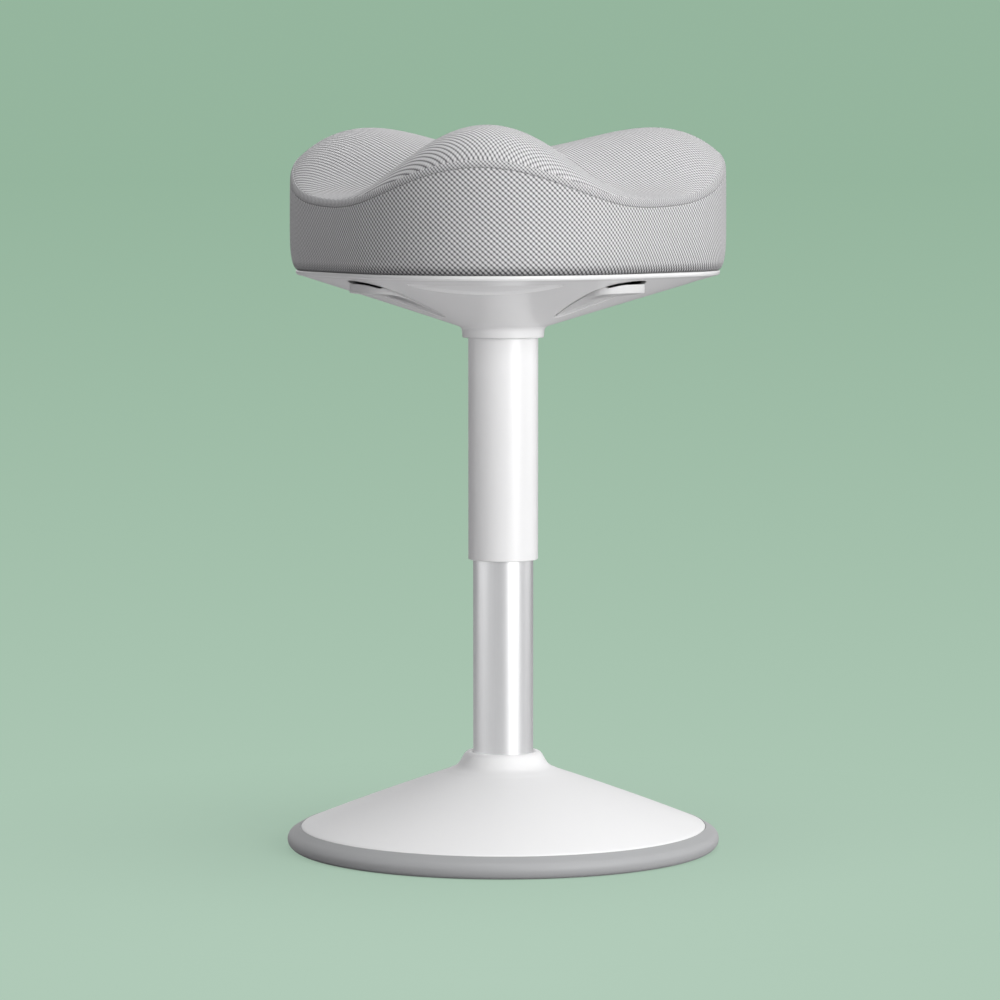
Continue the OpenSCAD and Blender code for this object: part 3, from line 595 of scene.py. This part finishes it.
def cushion_side():
    """Side panel: swells a little between the hem and the seam and turns under the board."""
    t, edge = COVER_T, SEAM_Z - WELT_H
    out = smoothed([
        side(7.4, RIM_Z + 0.1), side(5.2, RIM_Z + 0.9), side(3.6, RIM_Z + 2.9),
        side(1.9, RIM_Z + 7.5), side(0.7, RIM_Z + 14), side(0.1, RIM_Z + 23, 0.08),
        side(0.0, RIM_Z + 36, 0.4),
        side(0.1, edge - 14, 0.8), side(0.2, edge - 6, 1), side(0.3, edge - 1.6, 1),
        side(0.5, edge - 0.6, 1), side(0.9, edge - 0.15, 1), side(1.8, edge, 1)
    ], 5)
    back = [
        side(t + 1.8, edge, 1), side(t + 0.2, edge - 6, 1), side(t, RIM_Z + 26),
        side(t + 0.9, BOARD_Z + BOARD_T), side(4.6, BOARD_Z + 5), side(8.9, BOARD_Z - 0.1),
        side(30, BOARD_Z - 0.1), side(30, RIM_Z)
    ]
    return loft("cushion_side", out + back)


def cushion_welt():
    """Narrow strip between the panels, rounded a little over its backing."""
    face = smoothed([
        (1.8, -WELT_H + 0.05), (0.95, -WELT_H + 0.1), (0.55, -WELT_H + 0.45), (0.42, -WELT_H + 1.2),
        (0.62, -3.6), (1.05, -2.4), (1.7, -1.1), (2.45, -0.15), (3.1, 0.12), (4.1, -0.1)
    ], 4)
    backing = [(5.3, -1.7), (4.2, -3.3), (3.4, -WELT_H + 0.05)]
    return loft("cushion_welt", [seam(i, z) for i, z in face + backing], 360)


def foam_core():
    """Moulded foam inside the cover, with the same three lobes."""
    t = COVER_T + 0.3
    low = BOARD_Z + BOARD_T
    stations = [
        side(60, low), side(12, low), side(t + 0.9, low), side(t, RIM_Z + 26),
        seam(t + 0.3, -WELT_H - 6), seam(t + 1.4, -WELT_H), seam(t + SEAM_IN + 1.4, -t - 1.2)
    ] + [top(s, t) for s in (0.95, 0.89, 0.8, 0.68, 0.52, 0.34, 0.16, 0.05)]
    piece = loft("foam_core", stations, 144, False)
    work = bmesh.new()
    work.from_mesh(piece.data)
    bmesh.ops.holes_fill(work, edges=[e for e in work.edges if e.is_boundary], sides=0)
    bmesh.ops.recalc_face_normals(work, faces=work.faces)
    work.to_mesh(piece.data)
    work.free()
    return piece


def inflate(piece, free, most, steps=10, rounds=8):
    """Blows a panel up a little as cloth that is held where it is sewn, and keeps the result."""
    mesh, scene = piece.data, bpy.context.scene
    sewn = [not free(v) for v in mesh.vertices]
    held = piece.vertex_groups.new(name="sewn")
    held.add([i for i, fixed in enumerate(sewn) if fixed], 1.0, "REPLACE")
    change = piece.modifiers.new("cloth", "CLOTH")
    change.settings.vertex_group_mass = held.name
    change.settings.use_pressure = True
    change.settings.uniform_pressure_force = PRESSURE
    change.settings.effector_weights.gravity = 0
    change.point_cache.frame_end = steps
    for step in range(1, steps + 1):
        scene.frame_set(step)
    blown = piece.evaluated_get(bpy.context.evaluated_depsgraph_get()).data
    rise = [max(0.0, (to.co - v.co).dot(v.normal)) for v, to in zip(mesh.vertices, blown.vertices)]
    near = [[] for _ in sewn]
    for edge in mesh.edges:
        a, b = edge.vertices
        near[a].append(b)
        near[b].append(a)
    for _ in range(rounds):
        rise = [0.0 if fixed else (rise[i] + sum(rise[j] for j in near[i])) / (1 + len(near[i]))
                for i, fixed in enumerate(sewn)]
    moves = [v.normal * (most * math.tanh(r / most)) for v, r in zip(mesh.vertices, rise)]
    for v, move in zip(mesh.vertices, moves):
        v.co += move
    piece.modifiers.remove(change)
    piece.vertex_groups.remove(held)
    scene.frame_set(1)
    return piece


def over_top(v):
    """True for the points of the top panel between the axis and the seam's roll."""
    edge = lobed(math.atan2(v.co.y, v.co.x), SEAT_R, BULGE) * MM
    return v.normal.z > 0.2 and v.co.xy.length < 0.93 * edge


dress(inflate(cushion_top(), over_top, 1.0 * MM), "cloth_top", "seat", "cover_top")
dress(cushion_side(), "cloth_side", "seat", "cover_side")
dress(cushion_welt(), "cloth_welt", "seat", "cover_welt")
dress(foam_core(), "foam_cream", "seat", "seat_foam")


# Each paddle stands a little nearer to the front lobe than its arm
PADDLE_ANGLE = {-1: LEVER_ANGLE - math.radians(3.1), 1: LEVER_ANGLE - math.radians(0.3)}
# Half of a paddle's outline from its outer end to its tip: distance from the column, half width
PETAL_HALF = [
    (145.2, 0), (144.9, 7.0), (143.3, 14.8), (138.8, 21.6), (131, 25.3), (122, 25.6), (112, 23.8),
    (100, 20.2), (90, 16.4), (79, 11.7), (72, 8.5), (67.2, 6.0), (63.6, 3.4), (62.4, 0)
]


def petal(per=5):
    """Leaf-shaped outline of a lever in its own frame, as a smooth closed curve."""
    knots = PETAL_HALF + [(u, -v) for u, v in reversed(PETAL_HALF[1:-1])]
    count = len(knots)
    looped = [knots[(i - 1) % count] for i in range(count + 3)]
    return smoothed(looped, per)[per:per * (count + 1)]


def petal_like(grow):
    """The outline with the same count of points for each grow, for lofting."""
    base = petal()
    out = []
    for i, (u, v) in enumerate(base):
        (pu, pv), (nu, nv) = base[i - 1], base[(i + 1) % len(base)]
        tx, ty = nu - pu, nv - pv
        size = math.hypot(tx, ty)
        out.append((u + grow * ty / size, v - grow * tx / size))
    return out


def turn_to(side_sign, u, v, angle=None):
    """Point of a lever's own frame, with U outward from the column."""
    a = FRONT + side_sign * (PADDLE_ANGLE[side_sign] if angle is None else angle)
    return u * math.cos(a) - v * math.sin(a), u * math.sin(a) + v * math.cos(a)


def pan_z(x, y):
    """Height of the pan's outer face over a point."""
    edge = lobed(math.atan2(y, x), PAN_R - FLAT_IN, BULGE)
    return CONE_Z + (FLAT_Z - CONE_Z) * (math.hypot(x, y) - CONE_R) / (edge - CONE_R)


def grip_z(u):
    """Height of a lever's flatter grip at distance u from the column."""
    share = (u - GRIP_FROM[0]) / (GRIP_TO[0] - GRIP_FROM[0])
    return GRIP_FROM[1] + (GRIP_TO[1] - GRIP_FROM[1]) * share


def under_z(side_sign, u, v):
    """Underside of a lever: a belly proud of the pan in front and sunk behind, then the grip."""
    sink, tilt, soft = 0.4, 1.3, 1.2
    sag = (-sink - tilt * side_sign * v / 24) * soft_step((u - 58) / 20)
    belly = pan_z(*turn_to(side_sign, u, v)) - sag
    grip = grip_z(u)
    gap = belly - grip
    return 0.5 * (belly + grip - math.sqrt(gap * gap + soft * soft))


def roof_z(side_sign, u, v):
    """Top edge of a lever's wall: inside the pan at the tip, just below its face at the end."""
    low, from_u, to_u, end_u, end_run = RIM_Z - 24, LEVER_TIP - 4, 128, 133.5, 6
    share = min(max((u - from_u) / (to_u - from_u), 0), 1)
    roof = low + (LEVER_TOP - 0.3 - low) * share
    sunk = min(pan_z(*turn_to(side_sign, u, v)) - ROOF_GAP, roof)
    roof += (sunk - roof) * soft_step((u - end_u) / end_run)
    return max(roof, under_z(side_sign, u, v) + LEVER_FLOOR + 0.15)


def lever(side_sign, name):
    """Petal paddle as a shell with a rounded lower edge, and the arm over its pin."""
    loops = []
    wall, spine_from, spine_to, dish_from, dish_run = LEVER_WALL, 77, 128, 0.03, 0.14

    def ring(grow, height):
        loops.append([(u, v, height(u, v)) for u, v in petal_like(grow)])

    def spine(share, lift, grow):
        row = []
        lift += DISH * soft_step((share - dish_from) / dish_run)
        for u, v in petal_like(grow):
            su = min(max(u, spine_from), spine_to)
            pu, pv = u + (su - u) * share, v * (1 - share)
            row.append((pu, pv, under_z(side_sign, pu, pv) + lift))
        loops.append(row)

    def roof(lift):
        return lambda u, v: roof_z(side_sign, u, v) + lift

    for share in (0.985, 0.8, 0.6, 0.4, 0.2):
        spine(share, LEVER_FLOOR, -wall)
    ring(-wall, lambda u, v: under_z(side_sign, u, v) + LEVER_FLOOR)
    ring(-wall, roof(0))
    ring(-0.3, roof(0))
    ring(-0.08, roof(-0.1))
    ring(0, roof(-0.35))
    ring(0, lambda u, v: (roof_z(side_sign, u, v) + under_z(side_sign, u, v)) / 2)
    for grow, rise in ((0, 1.0), (-0.06, 0.6), (-0.22, 0.28), (-0.5, 0.07), (-1.0, 0.0)):
        ring(grow, lambda u, v, rise=rise: under_z(side_sign, u, v) + rise)
    for share in (0.04, 0.09, 0.15, 0.22, 0.3, 0.4, 0.5, 0.62, 0.75, 0.88, 0.985):
        spine(share, 0, -1.0)
    count = len(loops[0])
    points = [(*turn_to(side_sign, u, v), z) for row in loops for u, v, z in row]
    paddle = new_piece(name, points, capped(len(loops), count), 50)
    join(paddle, lever_arm(side_sign))
    return paddle


def lever_arm(side_sign):
    """Flat arm from the nose over the spring and the pin into the paddle, with a bored hub."""
    nose = NOSE[side_sign]
    low, back, root = BUTTON_TOP + 0.05, BUTTON_TOP + 4.5, LEVER_TIP + 34
    rim = [
        (nose, low), (34, low), (EAR_X - 5, EAR_Z - 2), (EAR_X - 3, EAR_Z - 4.8),
        (EAR_X, EAR_Z - 5.6), (EAR_X + 4, EAR_Z - 5.4), (LEVER_TIP + 8, CONE_Z + 16.5),
        (LEVER_TIP + 11, CONE_Z + 14.5), (root, CONE_Z + 22.5), (root, CONE_Z + 29),
        (EAR_X + 6, EAR_Z + 4.6), (EAR_X, EAR_Z + 5.6), (34, back), (nose + 1, back),
        (nose, back - 1)
    ]
    bore = arc(EAR_X, EAR_Z, PIN_BORE, 0, 345, 23)
    work = bmesh.new()
    edges = []
    for loop in (rim, bore):
        verts = [work.verts.new((u, -ARM_HALF, z)) for u, z in loop]
        edges += [work.edges.new((verts[i - 1], verts[i])) for i in range(len(verts))]
    bmesh.ops.triangle_fill(work, use_beauty=True, edges=edges)
    made = bmesh.ops.extrude_face_region(work, geom=list(work.faces))
    for v in made["geom"]:
        if isinstance(v, bmesh.types.BMVert):
            v.co.y = ARM_HALF
    for v in work.verts:
        x, y = turn_to(side_sign, v.co.x, v.co.y, LEVER_ANGLE)
        v.co = Vector((x, y, v.co.z)) * MM
    bmesh.ops.recalc_face_normals(work, faces=work.faces)
    mesh = bpy.data.meshes.new("arm")
    work.to_mesh(mesh)
    work.free()
    arm = bpy.data.objects.new("arm", mesh)
    bpy.context.scene.collection.objects.link(arm)
    return arm


def join(piece, extra):
    """Adds another mesh to a piece and removes its object."""
    work = bmesh.new()
    work.from_mesh(piece.data)
    work.from_mesh(extra.data)
    work.to_mesh(piece.data)
    work.free()
    bpy.data.objects.remove(extra)


dress(lever(-1, "lever_paddle_left"), "lever_white", "left_lever", "lever_left")
dress(lever(1, "lever_paddle_right"), "lever_white", "right_lever", "lever_right")


# A hand-hold's half width, inner edge, ends, outer edge and depth; then the form of its wall
SCOOP_HALF, SCOOP_IN, SCOOP_CHORD, SCOOP_OUT, SCOOP_DEEP = 63.0, 143.0, 151.0, 172.0, 5.4
SCOOP_STEP, SCOOP_EDGE, SCOOP_LIP = 1.5, 1.6, 1.2


def scoop_rise(x, y):
    """How far a hand-hold under a lobe hollows the pan's face at a point."""
    a = math.atan2(y, x)
    a -= FRONT + round((a - FRONT) / LOBE_TURN) * LOBE_TURN
    r = math.hypot(x, y)
    across, out = r * math.sin(a), r * math.cos(a)
    if abs(across) >= SCOOP_HALF or out < SCOOP_IN - 2 or out > SCOOP_OUT + 2:
        return 0.0
    t = across / SCOOP_HALF
    q = 1 - t * t
    inner = SCOOP_CHORD - (SCOOP_CHORD - SCOOP_IN) * math.sqrt(1 - t ** 6)
    outer = SCOOP_CHORD + (SCOOP_OUT - SCOOP_CHORD) * q
    if out <= inner or out >= outer:
        return 0.0
    u = (out - inner) / (outer - inner)
    wall = soft_step((out - inner) / SCOOP_EDGE) * min((outer - out) / SCOOP_LIP, 1.0)
    return wall * q ** 0.25 * (SCOOP_STEP + SCOOP_DEEP * u)


def pan_shell():
    """The white pan: collar, lofted underside with hand-holds, rim and inner face."""
    rim, turns, plain, fine, fine_from, fine_run = PAN_R, 540, 22, 46, 0.69, 0.29
    lower = smoothed([
        (33.0, 0, COLLAR_Z + 0.1), (33.6, 0, COLLAR_Z + 0.4), (33.9, 0, COLLAR_Z + 1.5),
        (34.2, 0, CONE_Z - 4.6), (34.7, 0, CONE_Z - 2.9), (35.7, 0, CONE_Z - 1.5),
        (37.2, 0, CONE_Z - 0.6), (CONE_R + 0.6, 0, CONE_Z + 0.3)
    ], 3)
    points, rings = [], 0

    def add(mean, share, z, hollow=False, over=0.0):
        nonlocal rings
        for k in range(turns):
            a = k * TURN / turns
            r = lobed(a, mean, share)
            x, y = r * math.cos(a), r * math.sin(a)
            rise = min(scoop_rise(x, y), RIM_Z - WALL - z) if hollow else 0
            points.append((x, y, z + rise + over))
        rings += 1

    for mean, share, z in lower[:-1]:
        add(mean, share, z)
    steps = [(i + 0.6) / plain * fine_from for i in range(plain)]
    steps += [fine_from + i / fine * fine_run for i in range(fine)] + [0.985]

    def face(s, over=0.0):
        add(CONE_R + (rim - FLAT_IN - CONE_R) * s, BULGE * s, CONE_Z + (FLAT_Z - CONE_Z) * s,
            s > 0.6, over)

    for s in steps:
        face(s)
    edge = smoothed([
        (rim - 4.4, FLAT_Z + 0.1), (rim - 2.4, FLAT_Z + 0.55), (rim - 0.9, FLAT_Z + 1.2),
        (rim - 0.15, FLAT_Z + 2.2), (rim, RIM_Z - 1.6), (rim, RIM_Z - 0.8),
        (rim - 0.3, RIM_Z - 0.2), (rim - 0.9, RIM_Z), (rim - 3.5, RIM_Z)
    ], 3)
    for mean, z in edge:
        add(mean, BULGE, z)
    for s in reversed(steps[3:-1]):
        face(s, WALL)
    add(CONE_R + 1.5, 0, CONE_Z + WALL + 0.4)
    add(36.5, 0, COLLAR_TOP)
    add(BORE_R, 0, COLLAR_TOP)
    add(BORE_R, 0, COLLAR_Z)
    add(33.6, 0, COLLAR_Z)
    return new_piece("pan_shell", points, ring_faces(rings, turns, True), 32)


def window_cutter(side_sign):
    """Closed petal plug that cuts a lever's window and rounds its lower edge."""
    loops = []
    for grow, rise in ((1.1, -0.4), (0.7, 0.0), (0.35, 0.13), (0.1, 0.4), (0.0, 0.9)):
        loops.append([
            (u, v, pan_z(*turn_to(side_sign, u, v)) + rise)
            for u, v in petal_like(LEVER_GAP + grow)])
    loops.append([(u, v, RIM_Z + 15) for u, v in petal_like(LEVER_GAP)])
    count = len(loops[0])
    points = [(*turn_to(side_sign, u, v), z) for row in loops for u, v, z in row]
    return new_piece("window_cutter", points, capped(len(loops), count))


def cut(piece, cutter):
    """Takes the cutter away from the piece and applies it."""
    change = piece.modifiers.new("cut", "BOOLEAN")
    change.operation = "DIFFERENCE"
    change.solver = "EXACT"
    change.object = cutter
    with bpy.context.temp_override(object=piece, active_object=piece):
        bpy.ops.object.modifier_apply(modifier=change.name)
    bpy.data.objects.remove(cutter)


pan = pan_shell()
for sign in (-1, 1):
    cut(pan, window_cutter(sign))
pan.data.set_sharp_from_angle(angle=math.radians(30))
dress(pan, "pan_white", "seat", "seat_pan")


SHELL_R, SHELL_EDGE, SHELL_WALL, BASE_R = 168.7, 17.8, 2.8, 180.0


def shell_z(r):
    """Outer curve of the white shell: an even fall that rounds off a little."""
    mid_r, mid_z, fall, droop, run = 108, 41.7, 0.3774, 0.9, 61
    return mid_z - fall * (r - mid_r) - droop * ((r - mid_r) / run) ** 2


def base_cone():
    """The white shell over the base, with its neck turned in round the column."""
    steps, edge_r, neck_r = 36, SHELL_R - 0.5, 48
    outer = [(SHELL_R, SHELL_EDGE - 3.2), (SHELL_R, SHELL_EDGE - 0.6),
             (SHELL_R - 0.15, SHELL_EDGE - 0.1)]
    radii = [edge_r - (edge_r - neck_r) * i / steps for i in range(steps + 1)]
    outer += [(r, shell_z(r)) for r in radii]
    neck = smoothed([
        (48.0, shell_z(48.0)), (45.0, 64.9), (42.3, 66.0), (39.8, 67.4), (37.8, 69.1), (36.3, 71.0),
        (34.8, 73.4), (33.5, 75.8), (32.3, 77.7), (31.1, 79.0), (29.8, 79.8), (28.5, 80.0),
        (27.2, 79.9), (26.3, 79.4), (25.75, 78.4), (25.7, 76.2)
    ], 4)[1:]
    under = [(28.4, 75.6), (30.4, 73.6), (32.0, 71.2), (34.2, 67.8), (37.5, 65.0), (43, 62.6)]
    inner = [(r, shell_z(r) - SHELL_WALL) for r in (60, 80, 100, 120, 140, 155, SHELL_R - 2.6)]
    foot = [(SHELL_R - 2.6, SHELL_EDGE - 3.2)]
    return turned("base_cone", outer + neck + under + inner + foot, 256)


def ring_piece():
    """The rubber ring: a round outer edge and a slope up to the shell."""
    round_r, slope_end, slope_steps = 7.5, 62.7, 4
    profile = [(150, 0)] + arc(BASE_R - round_r, round_r, round_r, -90, slope_end, 26)
    top_x, top_z = profile[-1]
    for k in range(1, slope_steps + 1):
        profile.append((top_x + (SHELL_R + 0.9 - top_x) * k / slope_steps,
                        top_z + (SHELL_EDGE - top_z) * k / slope_steps))
    profile += [(SHELL_R + 0.4, SHELL_EDGE - 0.15), (SHELL_R + 0.2, SHELL_EDGE - 0.6),
                (SHELL_R + 0.2, 14.5), (158, 14.5), (158, 10.05),
                (165.05, 10.05), (165.05, 3.95), (150, 3.95)]
    return turned("ring_rubber", profile, 256)


dress(base_cone(), "shell_white", "base", "base_shell")
dress(ring_piece(), "ring_rubber", "base", "base_ring")


for entry in frame["record"]["subparts"]:
    node = frame["nodes"][entry["node"]]
    finish = FINISHES[entry["material_slot"]]
    for place in node.material_slots:
        place.material = finish


VIEW_TURN = math.radians(5.4)
RIGHT = Vector((math.cos(VIEW_TURN), math.sin(VIEW_TURN), 0))
TOWARDS = Vector((math.sin(VIEW_TURN), -math.cos(VIEW_TURN), 0))
FAR_SAGE, NEAR_SAGE = (0.302, 0.464, 0.341), (0.447, 0.603, 0.492)
AMBIENT, SHINE = (0.20, 0.199, 0.204), (0.94, 0.94, 0.945)
FADE_AHEAD, FADE_FAR = 0.6, 2.93
AIM_Z = 0.35
FLOOR_R, FLOOR_MATT = 400, (0.56, 0.555, 0.56)
LIT_NEAR, LIT_FAR, SHADE_NEAR, SHADE_FAR, SEEN_GLOW = 0.5, 2.6, 0.2, 0.55, 0.7


def mixed(tree, factor, a, b):
    """A colour mix; a and b are colours or sockets."""
    node = tree.nodes.new("ShaderNodeMix")
    node.data_type = "RGBA"
    tree.links.new(factor, node.inputs["Factor"])
    for label, value in (("A", a), ("B", b)):
        if isinstance(value, tuple):
            node.inputs[label].default_value = (*value, 1)
        else:
            tree.links.new(value, node.inputs[label])
    return node.outputs["Result"]


def make_world():
    """Backdrop colour towards the horizon, with plain grey light and paler reflections."""
    world = bpy.data.worlds.new("Studio")
    bpy.context.scene.world = world
    world.use_nodes = True
    tree = world.node_tree
    back = tree.nodes["Background"]
    path = tree.nodes.new("ShaderNodeLightPath")
    given = mixed(tree, path.outputs["Is Glossy Ray"], AMBIENT, SHINE)
    seen = mixed(tree, path.outputs["Is Camera Ray"], given, FAR_SAGE)
    tree.links.new(seen, back.inputs["Color"])


def make_floor():
    """Pale floor that fades evenly into the backdrop, with a faint shadow under the base."""
    work = bmesh.new()
    bmesh.ops.create_circle(work, cap_ends=True, segments=96, radius=FLOOR_R)
    mesh = bpy.data.meshes.new("floor")
    work.to_mesh(mesh)
    work.free()
    floor = bpy.data.objects.new("floor", mesh)
    bpy.context.scene.collection.objects.link(floor)
    paint = bpy.data.materials.new("Floor")
    paint.use_nodes = True
    mesh.materials.append(paint)
    tree = paint.node_tree
    matt = tree.nodes["Principled BSDF"]
    matt.inputs["Roughness"].default_value = 0.9
    matt.inputs["Specular IOR Level"].default_value = 0.1
    coords = tree.nodes.new("ShaderNodeTexCoord").outputs["Object"]
    path = tree.nodes.new("ShaderNodeLightPath").outputs["Is Camera Ray"]

    def distance(centre):
        shift = tree.nodes.new("ShaderNodeVectorMath")
        shift.operation = "SUBTRACT"
        shift.inputs[1].default_value = centre
        tree.links.new(coords, shift.inputs[0])
        length = tree.nodes.new("ShaderNodeVectorMath")
        length.operation = "LENGTH"
        tree.links.new(shift.outputs[0], length.inputs[0])
        return length.outputs["Value"]

    away = maths(tree, "ADD", distance(TOWARDS * FADE_AHEAD), FADE_FAR)
    sage = mixed(tree, maths(tree, "DIVIDE", FADE_FAR, away), FAR_SAGE, NEAR_SAGE)
    tree.links.new(mixed(tree, path, FLOOR_MATT, NEAR_SAGE), matt.inputs["Base Color"])
    glow = tree.nodes.new("ShaderNodeEmission")
    tree.links.new(mixed(tree, path, AMBIENT, sage), glow.inputs["Color"])
    middle = distance(Vector((0, 0, 0)))
    plain = remap(tree, middle, LIT_NEAR, LIT_FAR, 0.0, 1.0)
    seen = remap(tree, middle, SHADE_NEAR, SHADE_FAR, SEEN_GLOW, 1.0)
    fade = tree.nodes.new("ShaderNodeMix")
    tree.links.new(path, fade.inputs["Factor"])
    tree.links.new(plain, fade.inputs["A"])
    tree.links.new(seen, fade.inputs["B"])
    blend = tree.nodes.new("ShaderNodeMixShader")
    tree.links.new(fade.outputs["Result"], blend.inputs["Fac"])
    tree.links.new(matt.outputs["BSDF"], blend.inputs[1])
    tree.links.new(glow.outputs["Emission"], blend.inputs[2])
    tree.links.new(blend.outputs["Shader"], tree.nodes["Material Output"].inputs["Surface"])


def lamp(name, right, near, up, size, power, diffuse=True):
    """Square soft lamp placed in the photograph's own directions, aimed at the column."""
    light = bpy.data.lights.new(name, "AREA")
    light.shape = "SQUARE"
    light.size = size
    light.energy = power
    holder = bpy.data.objects.new(name, light)
    bpy.context.scene.collection.objects.link(holder)
    holder.visible_diffuse = diffuse
    holder.location = RIGHT * right + TOWARDS * near + Vector((0, 0, up))
    aim_at = Vector((0, 0, AIM_Z)) - holder.location
    holder.rotation_euler = aim_at.to_track_quat("-Z", "Y").to_euler()


def make_camera():
    """Camera at the photograph's place, a little above the stool's middle and tilted down."""
    far, height, below = 3.5326, 0.5571, math.radians(4.328)
    data = bpy.data.cameras.new("camera")
    data.lens = 153.46
    data.sensor_width = 36
    data.shift_x = -0.0032
    data.clip_end = 500
    camera = bpy.data.objects.new("camera", data)
    bpy.context.scene.collection.objects.link(camera)
    camera.location = TOWARDS * far + Vector((0, 0, height))
    look = -TOWARDS * math.cos(below) - Vector((0, 0, math.sin(below)))
    camera.rotation_euler = look.to_track_quat("-Z", "Y").to_euler()
    bpy.context.scene.camera = camera


make_world()
make_floor()
lamp("key", 2.0, 2.4, 1.0, 1.8, 81)
lamp("fill", -2.3, 2.2, 1.1, 2.0, 6)
lamp("overhead", 0.3, 0.2, 2.8, 2.0, 44)
lamp("edge card", 2.4, -0.7, 0.7, 1.6, 9, diffuse=False)
lamp("far card", -2.5, 0.2, 0.6, 2.2, 18, diffuse=False)
make_camera()
bpy.context.scene.view_settings.view_transform = "Standard"
